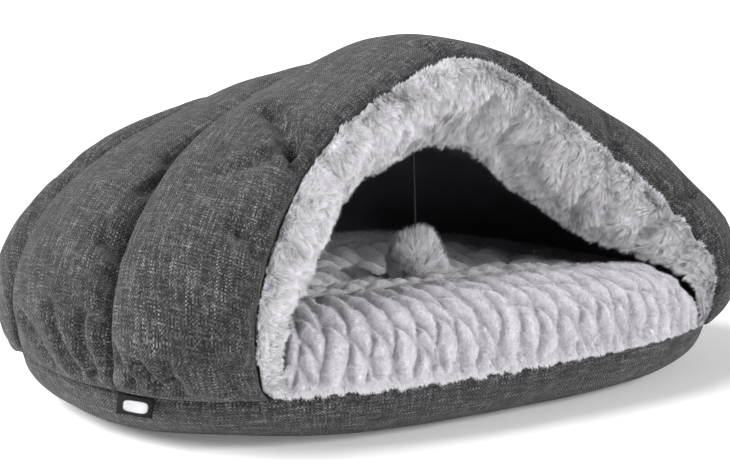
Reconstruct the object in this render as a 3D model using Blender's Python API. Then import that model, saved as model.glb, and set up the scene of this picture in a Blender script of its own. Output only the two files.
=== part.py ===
"""Slipper-shaped cat cave: a stuffed oval cushion with a hood of three stuffed panels sewn to its rim.

Metres, +Z up. The mouth faces -Y, the left side is -X, and the bed stands on Z = 0. A place on the
rim is a turn in degrees: -90 is the front, 0 the left end and 90 the back. A place on the hood is
`across`: 0 is the mouth, 1 and 2 are the valleys between the panels, and 3 is the rim at the back.
Each line over the hood runs from its left foot to its right foot.
"""
import math
import random

import bmesh
import bpy
import numpy as np
from mathutils import Vector, noise

GAP = 0.0004                # between pieces that touch
ORIGIN_SHIFT = (-0.0006, -0.0074, 0.0)  # from the rim's own centre to the middle of the bed's floor box

# The sewn rim, where the base, the plush top and the hood meet
RIM_HALF_WIDTH = 0.303
RIM_HALF_DEPTH = 0.206
RIM_SQUARENESS = 2.74
RIM_HEIGHT = 0.044

# Woven base
BASE_UNDERCUT = 0.058       # how far the flat underside lies inside the rim
BASE_COLUMNS = 72
BASE_ROWS = 6

# Sewn lines over the hood: the top on the centre line, how far the belly leans towards the mouth,
# and for each side the turn of its foot (read from the left end on both), the squareness of its arch
# and how far its belly swells past the rim
HOOD_LINES = [
    # top_y   top_z  forward   left: turn square swell    right: turn square swell
    (-0.105,  0.278,  0.006,     -52.0,  1.52,  0.016,      -47.5,  1.43,  0.009),
    (0.064,   0.257,  0.005,     -19.0,  1.50,  0.005,      -19.0,  1.50,  0.005),
    (0.150,   0.233,  0.000,       9.0,  1.68,  0.002,        9.0,  1.68,  0.002),
]
LEFT_TURN = 3
BELLY_HEIGHT = 0.043        # height of that bulge over the rim
LEAN = 1.25                 # how late the sides lean back on their way up
DOME_POWER = 0.95           # roundness of the back, from the last valley down to the rim
DOME_FOOT_TURN = 5.0        # how much of the rim the back panel takes beside the last valley
WALL = 0.010                # thickness of a panel at its sewn edges

# Stuffed panels: where they lie, how high their stuffing stands, the share of that lost at the top,
# and the rows of their mesh
PANELS = [
    # name              first_line  crown  slack  rows
    ("hood_front_panel",    0,      0.030,  0.0,    9),
    ("hood_middle_panel",   1,      0.025,  0.2,    8),
    ("hood_back_panel",     2,      0.023,  0.0,    9),
]
HOOD_COLUMNS = 41
CROWN_SHAPE = 2.2           # higher is flatter across the panel
FOOT_TAPER = 0.10           # share of a panel's length over which its crown rises from each foot
TOP_SPREAD = 0.13           # share of a panel's length over which the top is slack
LUMP_HEIGHT = 0.0025
LUMP_SIZE = 0.070

# Dark lining inside the hood
LINING_DEPTH = 0.0120       # below the sewn lines, clear of the panels
LINING_THICK = 0.0020
LINING_FIRST = 0.22         # across, where it comes out from behind the collar
LINING_ROWS = 11

# Plush collar: its section reaches inwards from the mouth line and back into the cave
COLLAR_REACH = 0.083
COLLAR_TOP_SHORT = 0.10     # share of its reach that it lacks at the top
COLLAR_TOP_SPAN = 0.08      # share of the mouth line, to each side of the top, that is short
COLLAR_BACK = 0.028
COLLAR_FOOT_REACH = 0.012
COLLAR_FOOT_BACK = -0.016
COLLAR_SPREAD = 0.27        # share of the mouth line from a foot to the collar's full width
COLLAR_TURN_IN = 0.13       # and to where it begins to lie back
COLLAR_FULLNESS = 0.016
COLLAR_FOOT_FULLNESS = 0.35  # share of it that is left at the feet
COLLAR_COLUMNS = 61
COLLAR_EDGE_ROOM = 0.0170   # below the mouth line, clear of the panel and the lining
COLLAR_SEAM = 0.0015        # in front of the panel's edge
PUCKER_DEPTH = 0.0035
PUCKERS = 23
COLLAR_SECTION = [
    # share of reach, share of back, fullness (negative is forward); front side, then rear side
    (-0.02, 0.00, -0.02),
    (0.20, 0.12, -0.95),
    (0.48, 0.42, -1.00),
    (0.76, 0.75, -0.80),
    (0.99, 1.00, -0.25),
    (0.97, 1.00, 0.35),
    (0.80, 0.86, 0.55),
    (0.60, 0.62, 0.50),
    (0.40, 0.30, 0.35),
    (0.22, 0.00, 0.00),
]

# Plush top of the base
PAD_SIDE_INSET = 0.0165     # room on the rim for the hood and its lining
PAD_COLLAR_INSET = 0.029    # room on the rim for the collar's feet
COLLAR_FEET_TURN = 8.0      # turn that each of the collar's feet takes on the rim
LIP_TURNS = (-54.8, -50.6)  # where the lip comes out to the rim beside the collar's left and right feet
LIP_CORNER = 3.2            # turn over which the lip's edge comes out at each end
LIP_SPAN = 30.0             # turn from the front over which the lip keeps its form
LIP_BULGE = 0.004
PAD_EDGE = 0.0025           # least height of the pad's side
PAD_ROLL = 0.055            # from the rim to the crown of the roll on the lip
PAD_SIDE_ROLL = 0.070       # and under the hood
ROLL_HEIGHTS = {"front": 0.0635, "left": 0.052, "back": 0.057, "right": 0.037}  # over the rim
PAD_DISH = 0.0395           # of the middle over the rim
DISH_SLOPE = 2.2            # how fast the roll's inner side falls to it
ROLL_SQUARENESS = 2.3
PAD_ROLL_ANGLES = (0.0, 10.0, 24.0, 40.0, 58.0, 78.0, 97.0, 118.0)
PAD_DISH_SHARES = (0.50, 0.25)  # rings inside the roll, as shares of the pad's outline

# Ribs embossed in the plush: they cross the lip and bend to the right on its face
RIB_PITCH = 0.0195
RIB_UNEVEN = 0.0022
RIB_DEPTH = 0.0042
RIB_BOW = 0.011
RIB_BOW_REACH = 0.27        # from the front centre to where the ribs run straight
RIB_SHARES = (0.0, 0.22, 0.44, 0.66, 0.86)
RIBS_EACH_SIDE = 12
BLOB_PITCH = 0.0175
BLOB_DEPTH = 0.0020

# Toy on its elastic
CORD_DIAMETER = 0.002
CORD_ROUTE = [(0.0, -0.0525, 0.2560), (0.0, -0.0530, 0.2024),
              (0.0, -0.0548, 0.1700), (0.0, -0.0566, 0.1310)]
CORD_POINTS = 26
POMPOM_CENTRE = (0.0, -0.0566, 0.1125)
POMPOM_CORE = 0.0178
POMPOM_LOCK = (0.0035, 0.0075)
POMPOM_TIP_SHARE = 0.42

# Side tab
LABEL_TURNS = (-28.5, -19.6)
LABEL_DROP = 0.0150
LABEL_THICK = 0.0012
LABEL_COLUMNS = 7

COLOURS = {
    # name: (red, green, blue, roughness), linear
    "woven": (0.095, 0.095, 0.100, 0.90),
    "plush": (0.560, 0.545, 0.590, 0.95),
    "lining": (0.030, 0.030, 0.034, 0.85),
    "elastic": (0.010, 0.010, 0.011, 0.60),
    "label": (0.020, 0.020, 0.022, 0.50),
}


def clear_scene():
    for thing in list(bpy.data.objects):
        bpy.data.objects.remove(thing, do_unlink=True)


def material(name):
    """A plain Principled material of the named colour."""
    found = bpy.data.materials.get(name)
    if found:
        return found
    made = bpy.data.materials.new(name)
    made.use_nodes = True
    shader = made.node_tree.nodes["Principled BSDF"]
    red, green, blue, roughness = COLOURS[name]
    shader.inputs["Base Color"].default_value = (red, green, blue, 1.0)
    shader.inputs["Roughness"].default_value = roughness
    shader.inputs["Metallic"].default_value = 0.0
    return made


def ease(value):
    """Smooth step from 0 to 1."""
    value = np.clip(value, 0.0, 1.0)
    return value * value * (3 - 2 * value)


def signed_power(value, power):
    return np.sign(value) * np.abs(value) ** power


def unit(vectors):
    return vectors / np.maximum(np.linalg.norm(vectors, axis=-1, keepdims=True), 1e-9)


def rim_points(turns, inset=0.0):
    """X and Y on the rim's outline, or on one that lies inside it by `inset`."""
    angle = np.radians(turns)
    power = 2 / RIM_SQUARENESS
    x = -(RIM_HALF_WIDTH - inset) * signed_power(np.cos(angle), power)
    y = (RIM_HALF_DEPTH - inset) * signed_power(np.sin(angle), power)
    return np.stack([x, y], axis=-1)


def rim_outward(points):
    """Level direction away from the rim's outline, at or near each point."""
    power = RIM_SQUARENESS - 1
    x = signed_power(points[..., 0] / RIM_HALF_WIDTH, power) / RIM_HALF_WIDTH
    y = signed_power(points[..., 1] / RIM_HALF_DEPTH, power) / RIM_HALF_DEPTH
    return unit(np.stack([x, y, np.zeros_like(x)], axis=-1))


def evenly_spaced(points, count):
    """`count` points at even distances along a polyline."""
    steps = np.linalg.norm(np.diff(points, axis=0), axis=1)
    length = np.concatenate([[0.0], np.cumsum(steps)])
    wanted = np.linspace(0.0, length[-1], count)
    return np.stack([np.interp(wanted, length, points[:, axis]) for axis in range(3)], axis=-1)


def half_arch(top_y, top_z, forward, foot_turn, squareness, swell, depth):
    """Half of a line over the hood: up the bulging side at +X, then over to the top."""
    foot_x, foot_y = rim_points(foot_turn, depth) * (-1, 1)
    belly = np.linspace(0.0, np.pi / 2, 8)[:-1]
    side = np.stack([foot_x + swell * np.sin(belly),
                     foot_y - forward * np.sin(belly),
                     RIM_HEIGHT + BELLY_HEIGHT * (1 - np.cos(belly))], axis=-1)
    rise = np.linspace(0.0, np.pi / 2, 25)
    height = np.sin(rise) ** (2 / squareness)
    width = np.clip(np.cos(rise), 0.0, 1.0) ** (2 / squareness)
    belly_z = RIM_HEIGHT + BELLY_HEIGHT
    belly_y = foot_y - forward
    over = np.stack([(foot_x + swell) * width,
                     belly_y + (top_y - belly_y) * height ** LEAN,
                     belly_z + (top_z - depth - belly_z) * height], axis=-1)
    return np.concatenate([side, over])


def arch(row, depth):
    """A line over the hood from foot to foot, `depth` below its sewn skin."""
    top, left, right = row[:3], row[3:6], row[6:]
    left_half = half_arch(*top, *left, depth) * (-1, 1, 1)
    right_half = half_arch(*top, *right, depth)
    return np.concatenate([left_half, right_half[::-1][1:]])


def hood_line(across, depth=0.0, count=HOOD_COLUMNS):
    """The line over the hood at `across`, on its sewn skin or `depth` below it."""
    if across <= 2:
        first = min(int(across), 1)
        share = across - first
        row = [start + (end - start) * share for start, end in zip(HOOD_LINES[first], HOOD_LINES[first + 1])]
        return evenly_spaced(arch(row, depth), count)
    valley = hood_line(2, depth, count)
    first_turn = HOOD_LINES[2][LEFT_TURN] + DOME_FOOT_TURN
    back_turns = np.linspace(first_turn, 180 - first_turn, 121)
    level = rim_points(back_turns, depth)
    rim = evenly_spaced(np.column_stack([level, np.full(len(level), RIM_HEIGHT)]), count)
    angle = (across - 2) * np.pi / 2
    out = np.sin(angle) ** DOME_POWER
    up = max(np.cos(angle), 0.0) ** DOME_POWER
    line = valley + (rim - valley) * out
    line[:, 2] = rim[:, 2] + (valley[:, 2] - rim[:, 2]) * up
    return line


def skin_outward(across, first, last):
    """Directions away from the sewn skin along the line at `across`, level near the rim."""
    step = 0.03
    line = hood_line(across)
    behind = hood_line(min(across + step, last)) - hood_line(max(across - step, first))
    ahead = np.gradient(line, axis=0)
    square = unit(np.cross(ahead, behind))
    level = rim_outward(line)
    share = ease((line[:, 2:] - RIM_HEIGHT) / BELLY_HEIGHT)
    return unit(level * (1 - share) + square * share)


def lumps(points, seed):
    """Uneven stuffing: a height for each point."""
    heights = [noise.noise(Vector(point) / LUMP_SIZE + Vector((seed, 0, 0))) for point in points]
    return LUMP_HEIGHT * np.array(heights)


def lift(points):
    """Keeps the hood's points off the rim's level."""
    points[:, 2] = np.maximum(points[:, 2], RIM_HEIGHT + GAP)
    return points


def set_down(thing):
    """Puts an object into the scene, with the bed's box centred on the origin."""
    thing.location = ORIGIN_SHIFT
    bpy.context.scene.collection.objects.link(thing)


def new_object(name, bm, colour):
    """An object of the closed mesh in `bm`, shaded smooth."""
    bmesh.ops.recalc_face_normals(bm, faces=bm.faces)
    mesh = bpy.data.meshes.new(name)
    bm.to_mesh(mesh)
    bm.free()
    mesh.shade_smooth()
    mesh.materials.append(material(colour))
    set_down(bpy.data.objects.new(name, mesh))


def skin_loops(bm, loops, around):
    """Faces between neighbouring loops of points; `around` closes each loop on itself."""
    rows = [[bm.verts.new(point) for point in loop] for loop in loops]
    count = len(rows[0])
    for lower, upper in zip(rows, rows[1:]):
        for column in range(count if around else count - 1):
            following = (column + 1) % count
            bm.faces.new((lower[column], lower[following], upper[following], upper[column]))
    return rows


def cap_strip(bm, loop):
    """Closes a flat loop whose second half runs back beside its first half."""
    half = len(loop) // 2
    for column in range(half - 1):
        bm.faces.new((loop[column], loop[column + 1], loop[-2 - column], loop[-1 - column]))


def slab(name, outer, inner, colour):
    """A closed solid between two skins, each a list of lines over the hood."""
    bm = bmesh.new()
    loops = [np.concatenate([over, under[::-1]]) for over, under in zip(outer, inner)]
    rows = skin_loops(bm, loops, around=True)
    cap_strip(bm, rows[0])
    cap_strip(bm, rows[-1])
    new_object(name, bm, colour)


def build_base():
    """Woven lower half: a flat underside, a border that rounds up to the rim, and a flat top."""
    turns = np.linspace(-180, 180, BASE_COLUMNS, endpoint=False)
    bm = bmesh.new()
    loops = []
    for angle in np.linspace(0, np.pi / 2, BASE_ROWS):
        inset = BASE_UNDERCUT * (1 - np.sin(angle))
        height = RIM_HEIGHT * (1 - np.cos(angle))
        level = rim_points(turns, inset)
        loops.append(np.column_stack([level, np.full(BASE_COLUMNS, height)]))
    rows = skin_loops(bm, loops, around=True)
    bm.faces.new(rows[0])
    bm.faces.new(rows[-1])
    new_object("base_cushion", bm, "woven")


def build_panel(name, first, crown, slack, rows):
    """A stuffed hood panel: its outer skin swells between its sewn lines, its inner skin doesn't."""
    outer, inner = [], []
    for row, share in enumerate(0.5 - 0.5 * np.cos(np.linspace(0, np.pi, rows))):
        across = first + share
        line = hood_line(across)
        under = hood_line(across, WALL)
        along = np.linspace(0, 1, HOOD_COLUMNS)
        to_foot = np.minimum(along, 1 - along)
        swell = crown * math.sqrt(max(1 - abs(2 * share - 1) ** CROWN_SHAPE, 0.0))
        swell = swell * np.clip(to_foot / FOOT_TAPER, 0, 1) ** 0.5
        swell = swell * (1 - slack * np.exp(-((along - 0.5) / TOP_SPREAD) ** 2))
        swell = swell + lumps(line, first) * (swell / crown)
        over = line + skin_outward(across, 0, 3) * swell[:, None]
        shift = {0: GAP / 2 * (first > 0), rows - 1: -GAP / 2 * (first < 2)}.get(row, 0.0)
        outer.append(lift(over + (0, shift, 0)))
        inner.append(lift(under + (0, shift, 0)))
    slab(name, outer, inner, "woven")


def build_lining():
    """The thin dark sheet inside the hood."""
    places = np.linspace(LINING_FIRST, 3.0, LINING_ROWS)
    outer = [lift(hood_line(across, LINING_DEPTH)) for across in places]
    inner = [lift(hood_line(across, LINING_DEPTH + LINING_THICK)) for across in places]
    slab("hood_lining", outer, inner, "lining")


def build_collar():
    """The plush roll round the mouth: a section swept along the mouth line, with puckers across it."""
    count = COLLAR_COLUMNS
    mouth = hood_line(0, count=count)
    ends = np.arange(count)
    ahead = unit(mouth[np.minimum(ends + 3, count - 1)] - mouth[np.maximum(ends - 3, 0)])
    out = mouth - hood_line(0, WALL, count)
    out = unit(out - ahead * (out * ahead).sum(axis=1, keepdims=True))
    back = np.cross(out, ahead)
    along = np.linspace(0, 1, count)
    to_foot = np.minimum(along, 1 - along)
    width = ease(to_foot / COLLAR_SPREAD) ** 0.75
    reach = COLLAR_FOOT_REACH + (COLLAR_REACH - COLLAR_FOOT_REACH) * width
    reach = reach * (1 - COLLAR_TOP_SHORT * np.exp(-((along - 0.5) / COLLAR_TOP_SPAN) ** 2))
    turned = ease((to_foot - COLLAR_TURN_IN) / COLLAR_SPREAD)
    depth = COLLAR_FOOT_BACK + (COLLAR_BACK - COLLAR_FOOT_BACK) * turned
    fullness = COLLAR_FULLNESS * (COLLAR_FOOT_FULLNESS + (1 - COLLAR_FOOT_FULLNESS) * width)
    room = np.minimum(COLLAR_EDGE_ROOM, 0.8 * reach)
    pucker = PUCKER_DEPTH * (0.5 - 0.5 * np.cos(2 * np.pi * PUCKERS * along + 2 * np.sin(9 * along)))
    loops = []
    for index in range(count):
        loop = []
        for in_share, back_share, full in COLLAR_SECTION:
            inwards = max(in_share * reach[index], -0.001)
            backwards = back_share * depth[index] + full * fullness[index]
            if full >= 0:
                inwards = max(inwards, room[index])
            if full < -0.2:
                backwards += pucker[index]
            if inwards < COLLAR_EDGE_ROOM:
                backwards = min(backwards, -COLLAR_SEAM)
            loop.append(mouth[index] - out[index] * inwards + back[index] * backwards)
        loops.append(lift(np.array(loop)))
    bm = bmesh.new()
    rows = skin_loops(bm, loops, around=True)
    cap_strip(bm, rows[0])
    cap_strip(bm, rows[-1])
    new_object("mouth_collar", bm, "plush")


RIM_TURNS = np.linspace(-270, 90, 1441)


def rim_lengths():
    """Distance round the rim from the back centre to each of RIM_TURNS."""
    steps = np.linalg.norm(np.diff(rim_points(RIM_TURNS), axis=0), axis=1)
    return np.concatenate([[0.0], np.cumsum(steps)])


def turn_at(distance):
    """The turn of a place on the rim, `distance` from the front centre towards the right."""
    lengths = rim_lengths()
    return float(np.interp((lengths[-1] / 2 - distance) % lengths[-1], lengths, RIM_TURNS))


def rib_columns():
    """The pad's columns: the distance of each from the front centre, its height on its rib or blob
    (0 to 1), and whether it lies on the ribbed lip."""
    chance = random.Random(5)
    edges = [-(RIBS_EACH_SIDE + 0.5) * RIB_PITCH]
    for _ in range(2 * RIBS_EACH_SIDE + 1):
        edges.append(edges[-1] + RIB_PITCH + chance.uniform(-RIB_UNEVEN, RIB_UNEVEN))
    columns = []
    for left, right in zip(edges, edges[1:]):
        for share in RIB_SHARES:
            columns.append((left + (right - left) * share, math.sin(math.pi * share) ** 0.6, True))
    plain = rim_lengths()[-1] + edges[0] - edges[-1]
    blobs = 2 * round(plain / BLOB_PITCH / 2)
    for blob in range(blobs):
        columns.append((edges[-1] + plain * blob / blobs, float(blob % 2), False))
    return columns


def pad_inset(turn):
    """How far the pad's edge lies inside the rim: none on the lip, most beside the collar's feet."""
    left_turn, right_turn = LIP_TURNS
    inside = min(left_turn - turn, turn + 180 + right_turn)
    if inside > 0:
        return GAP + PAD_COLLAR_INSET * float(1 - ease(inside / LIP_CORNER))
    beside_feet = float(1 - ease(-inside / COLLAR_FEET_TURN - 1))
    return PAD_SIDE_INSET + (PAD_COLLAR_INSET - PAD_SIDE_INSET) * beside_feet


def from_front(turn):
    """Turn of a place on the rim from the front, either way."""
    return abs((turn + 90 + 180) % 360 - 180)


def roll_height(turn):
    """Height of the pad's roll over the rim."""
    across, along = math.cos(math.radians(turn)), math.sin(math.radians(turn))
    side = ROLL_HEIGHTS["left" if across > 0 else "right"]
    end = ROLL_HEIGHTS["front" if along < 0 else "back"]
    return side + (end - side) * along * along


def roll_point(column, angle):
    """A point on the pad's roll, `angle` degrees up from its edge: 90 is the crown."""
    distance, rib, on_lip = column
    turn = turn_at(distance)
    crown = roll_height(turn)
    inset = pad_inset(turn)
    round_side = float(ease((from_front(turn) - LIP_SPAN) / LIP_SPAN))
    roll = PAD_ROLL + (PAD_SIDE_ROLL - PAD_ROLL) * round_side - inset
    swing = math.radians(angle)
    power = 2 / ROLL_SQUARENESS
    inward = roll * (1 - signed_power(math.cos(swing), power))
    height = crown * math.sin(min(swing, math.pi / 2)) ** power
    if angle > 90:
        height -= (crown - PAD_DISH) * DISH_SLOPE * (1 - math.sin(swing))
    depth = (RIB_DEPTH if on_lip else BLOB_DEPTH) * (1 - rib) * float(ease(angle / 24))
    inward += depth * max(math.cos(swing), 0.0)
    height -= depth * min(math.sin(swing), 1.0)
    if on_lip:
        across = math.sin(min(2 * swing, math.pi))
        inward -= LIP_BULGE * across
        distance += RIB_BOW * across * (1 - (abs(distance) / RIB_BOW_REACH) ** 4)
    edge = rim_points(turn_at(distance), inset)
    x, y = edge * (1 - inward / np.linalg.norm(edge))
    return x, y, RIM_HEIGHT + GAP + max(height, PAD_EDGE * (1 + angle / 90))


def build_pad():
    """Plush top: a roll that rises from the rim round a shallow dish, embossed with ribs and blobs."""
    columns = rib_columns()
    insets = [pad_inset(turn_at(distance)) for distance, _, _ in columns]
    edges = [rim_points(turn_at(column[0]), inset) for column, inset in zip(columns, insets)]
    loops = [[(x, y, RIM_HEIGHT + GAP) for x, y in edges]]
    for angle in PAD_ROLL_ANGLES:
        loops.append([roll_point(column, angle) for column in columns])
    for share in PAD_DISH_SHARES:
        heights = [PAD_DISH + BLOB_DEPTH * (rib - 0.5) * share for _, rib, _ in columns]
        loops.append([(x * share, y * share, RIM_HEIGHT + GAP + up) for (x, y), up in zip(edges, heights)])
    bm = bmesh.new()
    rows = skin_loops(bm, loops, around=True)
    bm.faces.new(rows[0])
    centre = bm.verts.new((0.0, 0.0, RIM_HEIGHT + GAP + PAD_DISH))
    last = rows[-1]
    for column, corner in enumerate(last):
        bm.faces.new((corner, last[(column + 1) % len(last)], centre))
    new_object("plush_pad", bm, "plush")


def build_cord():
    """The elastic, a thin tube along a smooth curve through its route."""
    route = np.array(CORD_ROUTE)
    places = np.linspace(0, 1, len(route))
    fits = [np.polynomial.Polynomial.fit(places, route[:, axis], 3) for axis in range(3)]
    line = np.stack([fit(np.linspace(0, 1, CORD_POINTS)) for fit in fits], axis=-1)
    curve = bpy.data.curves.new("toy_cord", "CURVE")
    curve.dimensions = "3D"
    curve.bevel_depth = CORD_DIAMETER / 2
    curve.bevel_resolution = 2
    curve.use_fill_caps = True
    spline = curve.splines.new("POLY")
    spline.points.add(CORD_POINTS - 1)
    for point, place in zip(spline.points, line):
        point.co = (*place, 1.0)
    curve.materials.append(material("elastic"))
    set_down(bpy.data.objects.new("toy_cord", curve))


def build_pompom():
    """The pompom: a ball whose faces stand out as tapered locks, but for those under the cord."""
    chance = random.Random(11)
    bm = bmesh.new()
    bmesh.ops.create_icosphere(bm, subdivisions=2, radius=POMPOM_CORE)
    pole = max(vert.co.z for vert in bm.verts) - 1e-6
    roots = [face for face in bm.faces if max(vert.co.z for vert in face.verts) < pole]
    locks = bmesh.ops.extrude_discrete_faces(bm, faces=roots)["faces"]
    for lock in locks:
        heart = lock.calc_center_median()
        length = chance.uniform(*POMPOM_LOCK)
        for vert in lock.verts:
            vert.co = heart + (vert.co - heart) * POMPOM_TIP_SHARE + heart.normalized() * length
    for vert in bm.verts:
        vert.co += Vector(POMPOM_CENTRE)
    new_object("toy_pompom", bm, "plush")


def build_label():
    """The side tab, which hangs from the seam flat against the border."""
    turns = np.linspace(*LABEL_TURNS, LABEL_COLUMNS)
    near = np.column_stack([rim_points(turns, -2 * GAP), np.full(LABEL_COLUMNS, RIM_HEIGHT - GAP)])
    far = near + rim_outward(near) * LABEL_THICK
    drop = np.array((0, 0, -LABEL_DROP))
    slab("side_label", [far, far + drop], [near, near + drop], "label")


def main():
    clear_scene()
    build_base()
    build_pad()
    for row in PANELS:
        build_panel(*row)
    build_lining()
    build_collar()
    build_cord()
    build_pompom()
    build_label()


main()
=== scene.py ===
"""Looks of the slipper-shaped cat cave: stuffed woven base and hood, plush top and mouth roll, and a toy."""
import math

import bpy
import numpy as np
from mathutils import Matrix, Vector, kdtree, noise


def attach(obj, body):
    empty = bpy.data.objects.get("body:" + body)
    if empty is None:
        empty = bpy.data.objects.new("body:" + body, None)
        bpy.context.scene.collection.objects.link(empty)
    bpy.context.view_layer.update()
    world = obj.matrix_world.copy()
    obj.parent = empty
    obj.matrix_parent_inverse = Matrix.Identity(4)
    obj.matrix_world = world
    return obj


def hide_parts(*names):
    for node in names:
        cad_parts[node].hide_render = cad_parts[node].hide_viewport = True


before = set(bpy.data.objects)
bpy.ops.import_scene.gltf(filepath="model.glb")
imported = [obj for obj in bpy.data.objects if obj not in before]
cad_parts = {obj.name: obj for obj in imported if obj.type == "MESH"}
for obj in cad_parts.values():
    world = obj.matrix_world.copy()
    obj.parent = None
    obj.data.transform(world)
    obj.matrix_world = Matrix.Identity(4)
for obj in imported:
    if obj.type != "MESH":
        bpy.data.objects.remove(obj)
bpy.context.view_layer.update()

bl_info = {
    "name": "Cat Cave",
    "version": (1, 0, 0),
    "blender": (4, 5, 0),
    "location": "View3D > Sidebar > Cat Cave",
    "description": "Dresses the cat cave's frame in woven cloth, plush and a pompom toy",
    "category": "Object",
}

BODY = "root"
GAP = 0.0004
ORIGIN_SHIFT = (-0.0006, -0.0074, 0.0)  # from the rim's own centre to the middle of the bed's floor box

# The sewn rim. A place on it is a turn in degrees: -90 is the front, 0 the left end and 90 the back
RIM_HALF_WIDTH = 0.303
RIM_HALF_DEPTH = 0.206
RIM_SQUARENESS = 2.74
RIM_HEIGHT = 0.044
BASE_UNDERCUT = 0.058
BASE_LUMP_SIZE = 0.05
BASE_LUMP = 0.0012
BASE_GATHER_SLANT = 0.6
BASE_DRAWN = 0.6            # how far the border is drawn in at its seam, in depths of a gather
BASE_GATHERED = 0.8

# Sewn lines over the hood, from the mouth to the last valley
HOOD_LINES = [
    # top_y   top_z  forward   left: turn square swell    right: turn square swell
    (-0.105,  0.278,  0.006,     -52.0,  1.52,  0.016,      -47.5,  1.43,  0.009),
    (0.064,   0.257,  0.005,     -19.0,  1.50,  0.005,      -19.0,  1.50,  0.005),
    (0.150,   0.233,  0.000,       9.0,  1.68,  0.002,        9.0,  1.68,  0.002),
]
LEFT_TURN = 3
BELLY_HEIGHT = 0.043
LEAN = 1.25
DOME_POWER = 0.95
DOME_FOOT_TURN = 5.0
WALL = 0.010
CROWN_SHAPE = 2.2
FOOT_TAPER = 0.10
TOP_SPREAD = 0.13
SLOPE_STEP = 0.03
LUMP_HEIGHT = 0.0042
LUMP_SIZE = 0.062

PANELS = [
    # piece               node                 first line  crown  slack
    ("hood_front_cloth",  "hood_front_panel",      0,      0.030,  0.0),
    ("hood_middle_cloth", "hood_middle_panel",     1,      0.025,  0.2),
    ("hood_back_cloth",   "hood_back_panel",       2,      0.023,  0.0),
]

# Where a panel lies flatter, or fuller: its piece, the share along it, over what span, and by how much
FLATTER = [
    ("hood_front_cloth", 0.405, 0.090, 0.34),
    ("hood_middle_cloth", 0.32, 0.13, 0.36),
    ("hood_back_cloth", 0.24, 0.13, -0.28),
    ("hood_front_cloth", 0.93, 0.09, 0.08),
]

# How far the thread draws the two valleys in, over what share of a panel, and where it lets go
VALLEY_SUNK = 0.0042
VALLEY_SPAN = 0.10
VALLEY_FOOT = 0.08
VALLEY_TOP = 0.85
VALLEY_TOP_SPAN = 0.16

# Where the woven border is rounder below: at which turn, over how many degrees, and by how much
BASE_ROUNDER = [
    (-38.0, 20.0, 0.026),
    (-165.0, 14.0, 0.028),
]

# How far the sewn mouth stands outside its line, at shares from its left foot to its right one
MOUTH_SHIFT = [
    (0.00, 0.000), (0.05, -0.001), (0.10, 0.003), (0.14, 0.009), (0.18, 0.012), (0.22, 0.012),
    (0.26, 0.010), (0.30, 0.008), (0.35, 0.003), (0.40, -0.002), (0.45, -0.003), (0.50, 0.000),
    (0.55, 0.003), (0.60, 0.001), (0.65, -0.005), (0.70, -0.007), (0.75, -0.006), (0.80, -0.004),
    (0.85, 0.000), (0.90, 0.002), (1.00, 0.000),
]
MOUTH_SHIFT_SPAN = 0.17     # share of the front panel over which the shift fades

# Lining
LINING_DEPTH = 0.0120
LINING_FIRST = 0.22

# Plush collar
COLLAR_REACH = 0.076
COLLAR_TOP_SHORT = 0.10
COLLAR_TOP_SPAN = 0.08
COLLAR_WIDER = -0.06        # by how much the roll's right arm is wider (negative is narrower), and where
COLLAR_WIDEST = 0.64
COLLAR_BACK = 0.028
COLLAR_FOOT_REACH = 0.004
COLLAR_FOOT_BACK = -0.016
COLLAR_SPREAD = 0.27
COLLAR_TURN_IN = 0.13
COLLAR_FULLNESS = 0.020
COLLAR_FOOT_FULLNESS = 0.24
COLLAR_COLUMNS = 61
COLLAR_EDGE_ROOM = 0.0170
COLLAR_SEAM = 0.0015
PUCKER_DEPTH = 0.0035
PUCKERS = 23
PUCKER_SWAY = 2
PUCKER_SWAYS = 9
PUCKERED_FROM = -0.2        # fullness of the section's points from which the puckers draw in
COLLAR_AHEAD = 3            # how many columns away the mouth's direction is measured
COLLAR_WIDENING = 0.75
COLLAR_ROOM_SHARE = 0.8
COLLAR_OVERLAP = 0.001
COLLAR_SECTION = [
    # share of reach, share of back, fullness (negative is forward); front side, then rear side
    (-0.02, 0.00, -0.02),
    (0.20, 0.12, -0.95),
    (0.48, 0.42, -1.00),
    (0.76, 0.75, -0.72),
    (0.97, 1.00, -0.15),
    (0.97, 1.00, 0.35),
    (0.80, 0.86, 0.55),
    (0.60, 0.62, 0.50),
    (0.40, 0.30, 0.35),
    (0.22, 0.00, 0.00),
]

# Plush top of the base
PAD_SIDE_INSET = 0.0165
PAD_COLLAR_INSET = 0.029
COLLAR_FEET_TURN = 8.0
LIP_TURNS = (-50.2, -48.4)
LIP_CORNER = 3.2
LIP_TAPER = (6.0, 8.0)     # degrees over which the lip loses height towards its left and right ends
LIP_END_SHARE = 0.42
LIP_SPAN = 30.0
LIP_BULGE = 0.004
PAD_EDGE = 0.0025
PAD_ROLL = 0.055
PAD_SIDE_ROLL = 0.070
ROLL_HEIGHTS = {"front": 0.0635, "left": 0.052, "back": 0.057, "right": 0.037}
PAD_DISH = 0.0395
DISH_SLOPE = 2.2
ROLL_SQUARENESS = 2.3
ROLL_END = 118.0            # degrees up and over the roll, where the dish takes over
RIB_PITCH = 0.0195
RIB_UNEVEN = 0.0022
RIB_BOW = 0.011
RIB_BOW_REACH = 0.27
RIBS_EACH_SIDE = 12
LOBE_STARTS = (1.42, 1.02, 0.62, 0.24)      # heights at which a rib's creases start, as shares of the crown
LOBE_UNEVEN = 0.13
LOBE_DROPS = (0.26, 0.44)
LOBE_SLOPE = 0.8
LOBE_FAR = 0.02
LOBE_END = 0.2
BLOB_SIZE = (0.0225, 0.0440)
BLOB_POWER = 0.7
BLOB_BEND = 0.45
BLOB_BEND_SIZE = 0.045
BLOB_BOW = 0.5
BLOB_BOW_SIZE = 0.06
BLOB_STAGGER = 0.2
BLOB_STAGGERS = 2.1
RELIEF_START = 11.0         # degrees up the roll over which its relief comes in
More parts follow.
